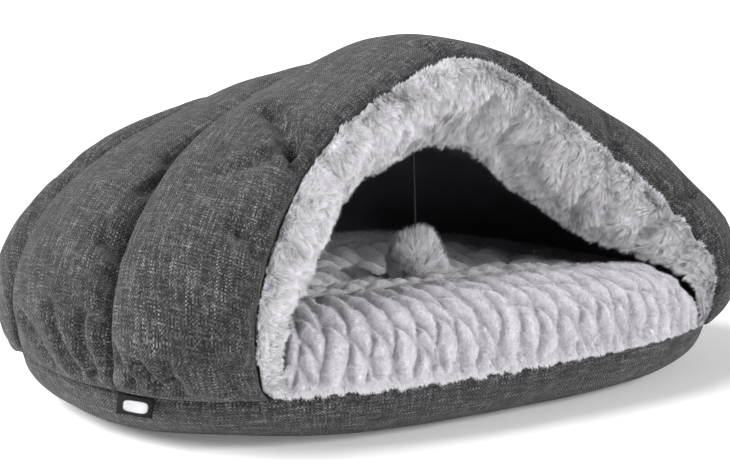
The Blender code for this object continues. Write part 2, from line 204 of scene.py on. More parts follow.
RELIEF_END = (2.0, 25.0)    # how far past the roll it goes out, and over how many degrees
BOW_FADE = 4
UPRIGHT_FADE = 8

# Toy
CORD_DIAMETER = 0.002
CORD_ROUTE = [(0.0, -0.0525, 0.2560), (0.0, -0.0530, 0.2024),
              (0.0, -0.0548, 0.1680), (0.0, -0.0566, 0.1262)]
POMPOM_CENTRE = (0.0, -0.0566, 0.1052)

# Label
LABEL_TURNS = (-28.5, -19.6)
LABEL_DROP = 0.0150
LABEL_THICK = 0.0012
LABEL_SLANT = 0.0022
LABEL_CURL = 0.0008
LABEL_WAVES = 2.2
LABEL_COLUMNS = 32
LABEL_ROWS = 12
PATCH_SHIFT = -0.0012
PATCH_SIZE = (0.0112, 0.0044)   # half the bare patch

# Seeds of the chance numbers and of the smooth uneven fields
SEEDS = {"ribs": 5, "lobes": 17, "fringe": 41, "pompom": 51, "border gathers": 31, "border": 4,
         "panel gathers": 40, "lining": 8, "blobs": 3, "roll": 60, "tufts": 6, "ball": 3, "locks": 9}

# Gathers and creases
GATHER_SLANT = 0.35         # how fast their pattern changes away from the seam
GATHER_START = 0.004
CREASE_POINTS = 24

# Fine meshes
RIM_STEPS = 1441
BELLY_POINTS = 25
ARCH_POINTS = 120
BASE_COLUMNS = 520
BASE_ROWS = 26
HOOD_COLUMNS = 300
HOOD_ROWS = 49
INNER_STEP = 8
LINING_COLUMNS = 120
LINING_ROWS = 40
LINING_THICK = 0.0012
LINING_SAG = 0.012
LINING_FOLDS = (9.0, 1.4)   # how many folds along the hood and for each of its panels
COLLAR_FINER_ALONG = 6
COLLAR_FINER_ROUND = 6
COLLAR_SUNK = 0.0032        # how far the roll's backing lies under the tips of its pile, at most
COLLAR_SUNK_SHARE = 0.25    # of the section's radius
LUMP_SLANT = 0.02
LUMP_TURNS = (9, 25)
LUMP_EDGE = 1 / 12          # share of the section over which the lumps fade at the seam
LUMP_ROOM = 0.02            # radius from which the roll carries its lumps in full
RIB_STEPS = 14
RIB_HOLLOW = 0.0105
PLAIN_STEP = 0.0042
PAD_ROWS = 58
DISH_ROWS = 46
DISH_BLOB = 0.0105
DISH_LEVEL = 1 / 2          # shares of the way in over which the hollow levels out and its blobs come and go
DISH_EDGE = 1 / 4
DISH_MIDDLE = 1 / 12
LOBE_SHARE = 0.9            # how many of the creases between lobes are there
CORD_POINTS = 26
POMPOM_CORE = 0.0204
POMPOM_COLUMNS = 64
POMPOM_ROWS = 33
POMPOM_LUMP = 0.08
POMPOM_LUMP_SIZE = 0.7
POMPOM_TUFT_SIZE = 0.012
POMPOM_SHORTEST = 0.75
POMPOM_TUFT = 0.5
POMPOM_TOP_TUFT = 0.5
SIDE_SEAM_TURN = -74.0      # the border's own seam
SIDE_SEAM_SPAN = 0.5
SIDE_SEAM_DEPTH = 0.0012

# Pile
COLLAR_LOCKS = 125000       # on each half
COLLAR_FRONT_SHARE = 0.62   # share of the section, from the seam, that faces out of the mouth
COLLAR_REAR_WEIGHT = 0.30
COLLAR_HALVES = [
    # side    seed  share of the section over which the pile turns inwards
    ("left",  21,   0.13),
    ("right", 22,   0.04),
]
FAN_UNEVEN = 0.035
SEAM_WEIGHT = 2.0           # how much thicker the pile stands at the seam, over what shares of the section
SEAM_SPAN = 0.05
SEAM_REAR_SPAN = 0.03
SEAM_RAISED = 0.45          # how much less the pile leans there
COLLAR_TRIM = 0.40          # how much shorter the pile is at the seam, and over what share of the section
COLLAR_TRIM_SPAN = 0.07
COLLAR_FOOT_PILE = 0.55     # share of the pile's length at the roll's feet, and where it is back in full
COLLAR_FOOT_SPAN = 0.2
PAD_PILES = [
    # piece             seed  hairs   length
    ("lip_pile_left",   31,   90000,  1.0),
    ("lip_pile_right",  32,   90000,  1.0),
    ("dish_pile",       33,   70000,  1.7),
]
FRINGE_LOCKS = 16000
FRINGE_OUT = 0.35
FRINGE_LENGTHS = (0.5, 0.6)     # between the tufts, and how much is added in them
FRINGE_SHORTER = 0.4        # how much shorter the fringe is towards the right, and over what span
FRINGE_SPAN = 0.2
FRINGE_START = 0.3
TUFT_SIZE = 0.011
TUFT_CONTRAST = 1.5
TUFT_LEVEL = 0.55
TUFT_GAP = 0.6
POMPOM_LOCKS = 26000
PILE_SHARPNESS = 0.55
# Chance shares of the length of a hair and of its clump, and of a hair's width
HAIR_LENGTHS = (0.7, 1.1)
CLUMP_LENGTHS = (0.8, 1.1)
HAIR_WIDTHS = (0.7, 1.3)
TINT_SHARE = 0.65           # how much of a hair's tint is its own, and not its clump's
CLUMPS = {
    # kind     hairs  hair swerve  clump swerve  lean  rough  draw  tilt  twist
    "collar":  (30,   0.20,        0.28,         0.91, 0.05,  0.22, 0.12, 0.35),
    "pad":     (40,   0.25,        0.20,         0.86, 0.07,  0.08, 0.13, 0.28),
    "fringe":  (16,   0.25,        0.30,         0.93, 0.05,  0.18, 0.10, 0.20),
    "pompom":  (40,   0.35,        0.35,         0.72, 0.12,  0.20, 0.08, 0.30),
}
# Smooth fields of direction that each kind of pile is brushed by: size, seed and share
COMBS = {
    "collar": [(0.014, 7.0, 0.9), (0.050, 3.0, 0.6)],
    "pad": [(0.012, 5.0, 0.8)],
    "pompom": [(0.012, 2.0, 0.9)],
}
# The way that each kind lies before it is brushed
LAYS = {"pad": (0.35, -0.40, -0.70), "fringe": (0.15, 0.00, -1.00), "pompom": (0.30, 0.10, 0.80)}

# Creases in the panels: shares along and across a panel where each starts and ends, its width and its depth
HOOD_CREASES = {
    "hood_front_cloth": [
        ((0.312, 0.450), (0.268, 0.229), 0.0090, 0.0150),
        ((0.272, 0.250), (0.250, 0.080), 0.0075, 0.0140),
        ((0.298, 0.430), (0.244, 0.208), 0.0055, -0.0045),
        ((0.217, 0.458), (0.251, 0.312), 0.0060, -0.0042),
        ((0.224, 0.400), (0.246, 0.260), 0.0095, 0.0070),
        ((0.160, 0.290), (0.150, 0.090), 0.0065, 0.0115),
        ((0.488, 0.190), (0.498, 0.020), 0.0080, 0.0090),
        ((0.512, 0.160), (0.515, 0.000), 0.0055, 0.0060),
        ((0.569, 0.160), (0.586, 0.000), 0.0045, 0.0083),
        ((0.589, 0.180), (0.602, 0.000), 0.0040, 0.0075),
        ((0.609, 0.200), (0.618, 0.000), 0.0045, 0.0075),
        ((0.634, 0.200), (0.640, 0.000), 0.0050, 0.0067),
        ((0.826, 0.040), (0.849, 0.271), 0.0070, 0.0090),
        ((0.722, 0.300), (0.738, 0.080), 0.0080, 0.0060),
        ((0.042, 0.800), (0.012, 0.690), 0.0050, 0.0075),
        ((0.038, 0.640), (0.012, 0.560), 0.0050, 0.0090),
        ((0.042, 0.510), (0.012, 0.470), 0.0045, 0.0067),
        ((0.047, 0.280), (0.012, 0.230), 0.0060, 0.0060),
    ],
    "hood_middle_cloth": [
        ((0.250, 0.200), (0.291, 0.110), 0.0100, 0.0067),
        ((0.184, 0.480), (0.191, 0.354), 0.0050, -0.0033),
        ((0.200, 0.200), (0.234, 0.090), 0.0080, 0.0060),
        ((0.132, 0.260), (0.130, 0.060), 0.0090, 0.0090),
        ((0.100, 0.290), (0.100, 0.080), 0.0070, 0.0053),
        ((0.074, 0.400), (0.067, 0.208), 0.0070, 0.0045),
        ((0.060, 0.480), (0.012, 0.375), 0.0055, 0.0090),
        ((0.060, 0.300), (0.012, 0.270), 0.0055, 0.0075),
        ((0.050, 0.640), (0.012, 0.540), 0.0050, 0.0075),
    ],
    "hood_back_cloth": [
        ((0.214, 0.300), (0.241, 0.100), 0.0100, 0.0060),
        ((0.160, 0.300), (0.185, 0.120), 0.0090, 0.0053),
        ((0.060, 0.160), (0.015, 0.080), 0.0060, 0.0075),
    ],
}
# The same on the mouth roll: the shares run along it from its left foot, and round its section from the seam
COLLAR_CREASES = [
    # from             to                 width   depth
    ((0.558, 0.150),   (0.562, 0.340),    0.0050, 0.0060),
    ((0.592, 0.070),   (0.612, 0.320),    0.0045, 0.0065),
    ((0.650, 0.130),   (0.668, 0.300),    0.0045, 0.0065),
    ((0.694, 0.150),   (0.722, 0.340),    0.0050, 0.0055),
    ((0.729, 0.110),   (0.750, 0.340),    0.0060, 0.0090),
    ((0.744, 0.040),   (0.783, 0.230),    0.0050, 0.0060),
    ((0.842, 0.020),   (0.833, 0.230),    0.0050, 0.0080),
    ((0.770, 0.090),   (0.783, 0.260),    0.0050, 0.0050),
    ((0.881, 0.020),   (0.897, 0.240),    0.0045, 0.0055),
    ((0.461, 0.100),   (0.475, 0.350),    0.0050, 0.0040),
    ((0.397, 0.080),   (0.391, 0.280),    0.0045, 0.0040),
    ((0.342, 0.050),   (0.362, 0.300),    0.0050, 0.0045),
    ((0.275, 0.030),   (0.288, 0.250),    0.0045, 0.0040),
    ((0.214, 0.020),   (0.217, 0.230),    0.0050, 0.0045),
    ((0.142, 0.040),   (0.148, 0.220),    0.0045, 0.0035),
]
COLLAR_LUMPS = [
    # size round the mouth, size across the roll, height
    (0.024, 0.050, 0.0075),
    (0.010, 0.024, 0.0022),
]

# Grain: scales of soft noise, and radians a metre of fine ribs
FADE_SCALE = 14.0
NAP_SCALE = 55.0
HAIR_SCALE = 900.0
WORN_SCALE = 22.0
FLOOR_SCALE = 3.0
TWILL = 5200.0
BRAID = 7000.0
TAPE_RIB = 9000.0

# Woven threads: how fast their slubs differ from one to the next, how far their tones spread, and how pale
# the warp and the weft start
THREAD_STEP = 7.31
THREAD_SPREAD = 0.85
WARP_PALE = 0.02
WEFT_PALE = 0.12
THREAD_CONTRAST = 2.7

# Light and camera
WHITE = (1.0, 1.0, 1.0, 1.0)
FLOOR_SIZE = 600.0
FLOOR_GLOW = 0.15
WORLD_LIGHT = 0.24
LIGHTS = [
    # name        from where            width in degrees  strength
    ("left",      (-2.0, 0.8, 1.7),     42.0,             5.05),
    ("right",     (0.7, -1.8, 1.05),    20.0,             1.70),
    ("front",     (-0.3, -1.9, 0.75),   18.0,             0.40),
]
CAMERA_AT = (-0.7761, -1.1181, 0.3269)
CAMERA_TARGET = (-0.0088, -0.0017, 0.1220)
CAMERA_LENS = 78.21
CAMERA_SENSOR = 36.0


# ---------------------------------------------------------------- lines and surfaces of the bed

def ease(value):
    """Smooth step from 0 to 1."""
    value = np.clip(value, 0.0, 1.0)
    return value * value * (3 - 2 * value)


def bell(distance, span):
    """A smooth bump: 1 at no distance, and next to nothing past twice `span`."""
    return np.exp(-(distance / span) ** 2)


def signed_power(value, power):
    return np.sign(value) * np.abs(value) ** power


def unit(vectors):
    return vectors / np.maximum(np.linalg.norm(vectors, axis=-1, keepdims=True), 1e-9)


def level_with(vectors, normals):
    """The vectors' directions with their part along the normals taken out."""
    return unit(vectors - normals * (vectors * normals).sum(axis=1, keepdims=True))


def rim_points(turns, inset=0.0):
    """X and Y on the rim's outline, or on one that lies inside it by `inset`."""
    angle = np.radians(turns)
    power = 2 / RIM_SQUARENESS
    x = -(RIM_HALF_WIDTH - inset) * signed_power(np.cos(angle), power)
    y = (RIM_HALF_DEPTH - inset) * signed_power(np.sin(angle), power)
    return np.stack([x, y], axis=-1)


def rim_outward(points):
    """Level direction away from the rim's outline, at or near each point."""
    power = RIM_SQUARENESS - 1
    x = signed_power(points[..., 0] / RIM_HALF_WIDTH, power) / RIM_HALF_WIDTH
    y = signed_power(points[..., 1] / RIM_HALF_DEPTH, power) / RIM_HALF_DEPTH
    return unit(np.stack([x, y, np.zeros_like(x)], axis=-1))


def run_along(points):
    """Distance along a polyline from its first point to each of its points."""
    steps = np.linalg.norm(np.diff(points, axis=0), axis=-1)
    return np.concatenate([np.zeros((1, *steps.shape[1:])), np.cumsum(steps, axis=0)])


def evenly_spaced(points, count):
    """`count` points at even distances along a polyline."""
    length = run_along(points)
    wanted = np.linspace(0.0, length[-1], count)
    return np.stack([np.interp(wanted, length, points[:, axis]) for axis in range(3)], axis=-1)


def half_arch(top_y, top_z, forward, foot_turn, squareness, swell, depth):
    """Half of a line over the hood: up the bulging side at +X, then over to the top."""
    foot_x, foot_y = rim_points(foot_turn, depth) * (-1, 1)
    belly = np.linspace(0.0, np.pi / 2, BELLY_POINTS)[:-1]
    side = np.stack([foot_x + swell * np.sin(belly),
                     foot_y - forward * np.sin(belly),
                     RIM_HEIGHT + BELLY_HEIGHT * (1 - np.cos(belly))], axis=-1)
    rise = np.linspace(0.0, np.pi / 2, ARCH_POINTS)
    height = np.sin(rise) ** (2 / squareness)
    width = np.clip(np.cos(rise), 0.0, 1.0) ** (2 / squareness)
    belly_z = RIM_HEIGHT + BELLY_HEIGHT
    belly_y = foot_y - forward
    over = np.stack([(foot_x + swell) * width,
                     belly_y + (top_y - belly_y) * height ** LEAN,
                     belly_z + (top_z - depth - belly_z) * height], axis=-1)
    return np.concatenate([side, over])


def arch(row, depth):
    """A line over the hood from foot to foot, `depth` below its sewn skin."""
    top, left, right = row[:3], row[3:6], row[6:]
    left_half = half_arch(*top, *left, depth) * (-1, 1, 1)
    right_half = half_arch(*top, *right, depth)
    return np.concatenate([left_half, right_half[::-1][1:]])


def hood_line(across, depth, count):
    """The line over the hood at `across`: 0 the mouth, 1 and 2 the valleys, 3 the rim at the back."""
    if across <= 2:
        first = min(int(across), 1)
        share = across - first
        row = [start + (end - start) * share for start, end in zip(HOOD_LINES[first], HOOD_LINES[first + 1])]
        return evenly_spaced(arch(row, depth), count)
    valley = hood_line(2, depth, count)
    first_turn = HOOD_LINES[2][LEFT_TURN] + DOME_FOOT_TURN
    back_turns = np.linspace(first_turn, 180 - first_turn, 361)
    level = rim_points(back_turns, depth)
    rim = evenly_spaced(np.column_stack([level, np.full(len(level), RIM_HEIGHT)]), count)
    angle = (across - 2) * np.pi / 2
    out = np.sin(angle) ** DOME_POWER
    up = max(np.cos(angle), 0.0) ** DOME_POWER
    line = valley + (rim - valley) * out
    line[:, 2] = rim[:, 2] + (valley[:, 2] - rim[:, 2]) * up
    return line


def skin_outward(across, count):
    """Directions away from the sewn skin along the line at `across`, level near the rim."""
    line = hood_line(across, 0.0, count)
    front = hood_line(max(across - SLOPE_STEP, 0), 0.0, count)
    behind = hood_line(min(across + SLOPE_STEP, 3), 0.0, count) - front
    square = unit(np.cross(np.gradient(line, axis=0), behind))
    level = rim_outward(line)
    share = ease((line[:, 2:] - RIM_HEIGHT) / BELLY_HEIGHT)
    return unit(level * (1 - share) + square * share)


def uneven(points, size, seed):
    """Smooth chance heights from -1 to 1, one for each point of a grid."""
    flat = points.reshape(-1, points.shape[-1]) / size
    if flat.shape[1] == 2:
        flat = np.column_stack([flat, np.zeros(len(flat))])
    heights = [noise.noise(Vector(point) + Vector((seed, seed / 3, 0))) for point in flat]
    return np.array(heights).reshape(points.shape[:-1])


def section_size(skin):
    """Mean radius of each closed row of a surface."""
    return np.linalg.norm(skin - skin.mean(axis=1, keepdims=True), axis=2).mean(axis=1)


def section_outward(skin):
    """Outward directions on a surface whose rows close on themselves."""
    around = np.roll(skin, -1, axis=1) - np.roll(skin, 1, axis=1)
    away = unit(np.cross(np.gradient(skin, axis=0), around))
    middle = skin.mean(axis=1, keepdims=True)
    return away * np.sign(((skin - middle) * away).sum(axis=(1, 2)).mean())


def lift(points):
    """Keeps the hood's points off the rim's level."""
    points[..., 2] = np.maximum(points[..., 2], RIM_HEIGHT + GAP)
    return points


def between(points, count, closed):
    """Rows of `points` made `count` times finer, on a smooth curve through them."""
    if closed:
        padded = np.concatenate([points[-1:], points, points[:2]])
    else:
        padded = np.concatenate([2 * points[:1] - points[1:2], points, 2 * points[-1:] - points[-2:-1]])
    before, start, end, after = padded[:-3], padded[1:-2], padded[2:-1], padded[3:]
    rows = []
    for share in np.arange(count) / count:
        cubic = 3 * (start - end) + after - before
        square = 2 * before - 5 * start + 4 * end - after
        rows.append(start + share * (end - before + share * (square + share * cubic)) / 2)
    mixed = np.stack(rows, axis=1).reshape(-1, *points.shape[1:])
    return mixed if closed else np.concatenate([mixed, points[-1:]])


def mouth_shift(along):
    """How far the mouth stands outside its sewn line."""
    return np.interp(along, *zip(*MOUTH_SHIFT))


def panel_skins(name, first, crown, slack, columns, rows):
    """A panel's outer skin, swollen between its sewn lines and gathered along them, and its inner skin."""
    along = np.linspace(0, 1, columns)
    to_foot = np.minimum(along, 1 - along)
    outer, inner = [], []
    out = unit(hood_line(0, 0.0, columns) - hood_line(0, WALL, columns)) * mouth_shift(along)[:, None]
    for share in np.linspace(0, 1, rows):
        place = 0.5 - 0.5 * math.cos(math.pi * share)
        across = first + place
        line = hood_line(across, 0.0, columns)
        swell = crown * math.sqrt(max(1 - abs(2 * place - 1) ** CROWN_SHAPE, 0.0))
        swell = swell * np.clip(to_foot / FOOT_TAPER, 0, 1) ** 0.5
        swell = swell * (1 - slack * bell(along - 0.5, TOP_SPREAD))
        for piece, centre, span, flatter in FLATTER:
            if piece == name:
                swell = swell * (1 - flatter * bell(along - centre, span))
        swell = swell + LUMP_HEIGHT * uneven(line, LUMP_SIZE, first) * (swell / crown)
        to_valley = min(place if first > 0 else 1.0, 1 - place if first < 2 else 1.0)
        sunk = ease(to_foot / VALLEY_FOOT) * (1 - VALLEY_TOP * bell(along - 0.5, VALLEY_TOP_SPAN))
        swell = swell - VALLEY_SUNK * bell(to_valley, VALLEY_SPAN) * sunk
        aside = out * bell(across, MOUTH_SHIFT_SPAN)
        outer.append(line + skin_outward(across, columns) * swell[:, None] + aside)
        inner.append(hood_line(across, WALL, columns) + aside)
    return lift(np.array(outer)), lift(np.array(inner))


def gathered(skin, first, sizes):
    """The panel's outer skin with small gathers along its two sewn lines."""
    from_first = run_along(skin)
    along = run_along(skin[len(skin) // 2])[-1] * np.linspace(0, 1, skin.shape[1])
    outward = grid_normals(skin)
    height = np.zeros(skin.shape[:2])
    for seed, away in ((first, from_first), (first + 1, from_first[-1] - from_first)):
        places = np.stack([np.broadcast_to(along, away.shape), away * GATHER_SLANT], axis=-1)
        folds = uneven(places, sizes.gather_pitch, SEEDS["panel gathers"] + seed)
        height += folds * np.exp(-away / sizes.gather_length) * ease(away / GATHER_START)
    return lift(skin + outward * (sizes.gather_depth * 2 * height)[..., None])


def pressed(skin, creases, outward):
    """A surface with creases pressed in, each from one share of its columns and rows to another."""
    rows, columns = skin.shape[:2]
    depth = np.zeros((rows, columns))
    for start, end, width, deep in creases:
        share = np.linspace(0, 1, CREASE_POINTS)
        column = np.rint((start[0] + (end[0] - start[0]) * share) * (columns - 1)).astype(int)
        row = np.rint((start[1] + (end[1] - start[1]) * share) * (rows - 1)).astype(int)
        away = np.min([np.linalg.norm(skin - point, axis=2) for point in skin[row, column]], axis=0)
        depth += deep * bell(away, width)
    return lift(skin - outward * depth[..., None])


def grid_normals(points):
    """Outward directions at the points of an open grid."""
    along = np.gradient(points, axis=1)
    across = np.gradient(points, axis=0)
    return unit(np.cross(along, across))


def collar_skin(finer_along, finer_round):
    """The collar's surface as loops round its section, from the left foot to the right, and for each
    loop the direction away from the opening."""
    count = COLLAR_COLUMNS
    mouth = hood_line(0, 0.0, count)
    columns = np.arange(count)
    before, after = np.clip([columns - COLLAR_AHEAD, columns + COLLAR_AHEAD], 0, count - 1)
    ahead = unit(mouth[after] - mouth[before])
    out = mouth - hood_line(0, WALL, count)
    out = level_with(out, ahead)
    back = np.cross(out, ahead)
    along = np.linspace(0, 1, count)
    to_foot = np.minimum(along, 1 - along)
    width = ease(to_foot / COLLAR_SPREAD) ** COLLAR_WIDENING
    reach = COLLAR_FOOT_REACH + (COLLAR_REACH - COLLAR_FOOT_REACH) * width
    reach = reach * (1 - COLLAR_TOP_SHORT * bell(along - 0.5, COLLAR_TOP_SPAN))
    reach = reach * (1 + COLLAR_WIDER * bell(along - COLLAR_WIDEST, COLLAR_TOP_SPAN))
    turned = ease((to_foot - COLLAR_TURN_IN) / COLLAR_SPREAD)
    depth = COLLAR_FOOT_BACK + (COLLAR_BACK - COLLAR_FOOT_BACK) * turned
    fullness = COLLAR_FULLNESS * (COLLAR_FOOT_FULLNESS + (1 - COLLAR_FOOT_FULLNESS) * width)
    room = np.minimum(COLLAR_EDGE_ROOM, COLLAR_ROOM_SHARE * reach)
    beat = 2 * np.pi * PUCKERS * along + PUCKER_SWAY * np.sin(PUCKER_SWAYS * along)
    pucker = PUCKER_DEPTH * (0.5 - 0.5 * np.cos(beat))
    in_share, back_share, full = np.array(COLLAR_SECTION).T
    inwards = np.maximum(in_share * reach[:, None], -COLLAR_OVERLAP)
    inwards = np.where(full >= 0, np.maximum(inwards, room[:, None]), inwards)
    backwards = back_share * depth[:, None] + full * fullness[:, None]
    backwards += np.where(full < PUCKERED_FROM, pucker[:, None], 0.0)
    backwards = np.where(inwards < COLLAR_EDGE_ROOM, np.minimum(backwards, -COLLAR_SEAM), backwards)
    loops = mouth[:, None] - out[:, None] * inwards[..., None] + back[:, None] * backwards[..., None]
    smooth = between(lift(loops), finer_along, closed=False)
    smooth = between(smooth.swapaxes(0, 1), finer_round, closed=True).swapaxes(0, 1)
    return lift(smooth), between(out, finer_along, closed=False)


RIM_TURNS = np.linspace(-270, 90, RIM_STEPS)
RIM_LENGTHS = run_along(rim_points(RIM_TURNS))     # from the back centre round the rim to each of RIM_TURNS


def turn_at(distance):
    """The turn of each place on the rim, `distance` from the front centre towards the right."""
    return np.interp((RIM_LENGTHS[-1] / 2 - distance) % RIM_LENGTHS[-1], RIM_LENGTHS, RIM_TURNS)


def pad_inset(turns):
    """How far the pad's edge lies inside the rim: none on the lip, most beside the collar's feet."""
    left_turn, right_turn = LIP_TURNS
    inside = np.minimum(left_turn - turns, turns + 180 + right_turn)
    beside_feet = 1 - ease(-inside / COLLAR_FEET_TURN - 1)
    side = PAD_SIDE_INSET + (PAD_COLLAR_INSET - PAD_SIDE_INSET) * beside_feet
    lip = GAP + PAD_COLLAR_INSET * (1 - ease(inside / LIP_CORNER))
    return np.where(inside > 0, lip, side)


def lip_taper(turns):
    """Share of the roll's height that is left towards the two ends of the lip."""
    left = ease((LIP_TURNS[0] - turns) / LIP_TAPER[0])
    right = ease((turns + 180 + LIP_TURNS[1]) / LIP_TAPER[1])
    beside = (turns > LIP_TURNS[0] + 1) | (turns < -181 - LIP_TURNS[1])
    return np.where(beside, 1.0, LIP_END_SHARE + (1 - LIP_END_SHARE) * np.minimum(left, right))


def roll_height(turns):
    """Height of the pad's roll over the rim."""
    across, along = np.cos(np.radians(turns)), np.sin(np.radians(turns))
    side = np.where(across > 0, ROLL_HEIGHTS["left"], ROLL_HEIGHTS["right"])
    end = np.where(along < 0, ROLL_HEIGHTS["front"], ROLL_HEIGHTS["back"])
    return (side + (end - side) * along * along) * lip_taper(turns)


def rib_edges():
    """Distances from the front centre to the creases between the lip's ribs."""
    chance = np.random.default_rng(SEEDS["ribs"])
    edges = [-(RIBS_EACH_SIDE + 0.5) * RIB_PITCH]
    for _ in range(2 * RIBS_EACH_SIDE + 1):
        edges.append(edges[-1] + RIB_PITCH + chance.uniform(-RIB_UNEVEN, RIB_UNEVEN))
    return np.array(edges)


def pad_columns():
    """The pad's columns: the distance of each from the front centre, and its rib's number and share of
    that rib's width, from 0 to 1. The number is -1 past the lip."""
    edges = rib_edges()
    lip = np.concatenate([left + (right - left) * np.arange(RIB_STEPS) / RIB_STEPS
                          for left, right in zip(edges, edges[1:])])
    plain = RIM_LENGTHS[-1] + edges[0] - edges[-1]
    count = round(plain / PLAIN_STEP)
    rest = edges[-1] + plain * np.arange(count) / count
    number = np.concatenate([np.arange(len(lip)) // RIB_STEPS, np.full(count, -1)])
    share = np.concatenate([np.arange(len(lip)) % RIB_STEPS / RIB_STEPS, np.zeros(count)])
    return np.concatenate([lip, rest]), number, share


def rounded(distance):
    """A rounded shoulder: 0 at a crease, and 1 from a distance of 1 on."""
    return 1 - (1 - np.clip(distance, 0, 1)) ** 2


def lobe_depth(number, share, height, sizes):
    """Depth of the lip's relief below the tops of its lobes, from 0 to 1. Each rib is cut into lobes by
    creases that slant from its left edge down to its right one, and each lobe is rounded like a small
    pillow. `height` is 0 at the rim and 1 at the crown."""
    chance = np.random.default_rng(SEEDS["lobes"])
    ribs = 2 * RIBS_EACH_SIDE + 1
    starts = np.array(LOBE_STARTS) + chance.uniform(-LOBE_UNEVEN, LOBE_UNEVEN, (ribs, len(LOBE_STARTS)))
    drops = chance.uniform(*LOBE_DROPS, starts.shape)
    present = chance.uniform(0, 1, starts.shape) < LOBE_SHARE
    across = RIB_PITCH / sizes.lobe_round
    puff = rounded(share * across) * rounded((1 - share) * across)
    for row in range(starts.shape[1]):
        line = (starts[number, row] - height) / drops[number, row]
        gap = np.abs(line - share) * RIB_PITCH * LOBE_SLOPE
        for past in (line, 1 - line):
            gap = gap + LOBE_FAR * (1 - ease(past / LOBE_END + 1))
        puff = puff * np.where(present[number, row], rounded(gap / sizes.lobe_round), 1.0)
    return (1 - puff) * (number >= 0)


def blobs(points):
    """Height of the rounded blobs that cover the dish in bowed rows, 0 in the creases and 1 on top."""
    bent = BLOB_BEND * uneven(points[:, :2], BLOB_BEND_SIZE, SEEDS["blobs"])
    column = points[:, 0] / BLOB_SIZE[0] + BLOB_BOW * np.sin(points[:, 1] / BLOB_BOW_SIZE) + bent
    number = np.floor(column)
    shift = 0.5 * (number % 2) + BLOB_STAGGER * np.sin(BLOB_STAGGERS * number)
    row = points[:, 1] / BLOB_SIZE[1] + shift + bent
    return (np.abs(np.sin(np.pi * row)) * np.abs(np.sin(np.pi * column))) ** BLOB_POWER


def pad_skin(rows, sizes):
    """The plush top's surface as rings from its edge over the roll to its middle, whether each of its
    columns is on the lip, and the columns' distances from the front centre."""
    distance, number, share = pad_columns()
    on_lip = number >= 0
    turns = turn_at(distance)
    inset, crown = pad_inset(turns), roll_height(turns)
    front = np.abs((turns + 90 + 180) % 360 - 180)
    round_side = ease((front - LIP_SPAN) / LIP_SPAN)
    roll = PAD_ROLL + (PAD_SIDE_ROLL - PAD_ROLL) * round_side - inset
    fade = 1 - np.clip(np.abs(distance) / RIB_BOW_REACH, 0, 1) ** BOW_FADE
    upright = 1 - np.clip(np.abs(distance) / distance[on_lip].max(), 0, 1) ** UPRIGHT_FADE
    power = 2 / ROLL_SQUARENESS
    rings = []
    for angle in np.linspace(0, ROLL_END, rows):
        swing = math.radians(angle)
        inward = roll * (1 - signed_power(math.cos(swing), power))
        height = crown * math.sin(min(swing, math.pi / 2)) ** power
        if angle > 90:
            height = height - (crown - PAD_DISH) * DISH_SLOPE * (1 - math.sin(swing))
        relief = lobe_depth(number, share, np.full(len(distance), angle / 90), sizes)
        shown = float(ease(angle / RELIEF_START) * ease((ROLL_END + RELIEF_END[0] - angle) / RELIEF_END[1]))
        depth = RIB_HOLLOW * relief * shown
        inward = inward + depth * max(math.cos(swing), 0.0)
        height = height - depth * min(math.sin(swing), 1.0)
        across = math.sin(min(2 * swing, math.pi))
        inward = inward - LIP_BULGE * across * on_lip
        moved = distance + RIB_BOW * across * fade * on_lip
        edge = rim_points(turn_at(moved), inset)
        to_middle = -unit(edge)
        straight = -rim_outward(edge)[:, :2]
        square = straight * (to_middle * straight).sum(axis=1, keepdims=True)
        level = edge + (to_middle + (square - to_middle) * upright[:, None]) * inward[:, None]
        up = RIM_HEIGHT + GAP + np.maximum(height, PAD_EDGE * (1 + angle / 90))
        rings.append(np.column_stack([level, up]))
    last = rings[-1]
    middle = np.array([0.0, 0.0, RIM_HEIGHT + GAP + PAD_DISH])
    for share_in in np.linspace(0, 1, DISH_ROWS + 1)[1:]:
        ring = last + (middle - last) * share_in
        ring[:, 2] = middle[2] + (last[:, 2] - middle[2]) * (1 - ease(share_in / DISH_LEVEL))
        shown = ease(share_in / DISH_EDGE) * ease((1 - share_in) / DISH_MIDDLE)
        ring[:, 2] += DISH_BLOB * blobs(ring) * shown
        rings.append(ring)
    return np.array(rings), on_lip, distance


def base_skin(columns, rows, sizes):
    """The woven border as rings from the floor up to the rim, with gathers under the seam."""
    lengths = RIM_LENGTHS[-1] * np.arange(columns) / columns
    turns = np.interp(lengths, RIM_LENGTHS, RIM_TURNS)
    rings = []
    for angle in np.linspace(0, np.pi / 2, rows):
        undercut = np.full(columns, BASE_UNDERCUT)
        for turn, span, deeper in BASE_ROUNDER:
            undercut += deeper * bell(turns - turn, span)
        inset = undercut * (1 - math.sin(angle))
        height = RIM_HEIGHT * (1 - math.cos(angle))
        below = RIM_HEIGHT - height
        places = np.column_stack([lengths, np.full(columns, below * BASE_GATHER_SLANT)])
        gather = uneven(places, sizes.gather_pitch, SEEDS["border gathers"])
        gather *= math.exp(-below / sizes.gather_length)
        soft = uneven(places, BASE_LUMP_SIZE, SEEDS["border"]) * math.sin(2 * angle)
        drawn = sizes.gather_depth * (BASE_DRAWN - gather) * math.sin(angle) * BASE_GATHERED
        inset = inset + drawn - BASE_LUMP * soft
        seam = SIDE_SEAM_DEPTH * bell(turns - SIDE_SEAM_TURN, SIDE_SEAM_SPAN)
        level = rim_points(turns, inset + seam * math.sin(2 * angle))
        rings.append(np.column_stack([level, np.full(columns, height)]))
    return np.array(rings)


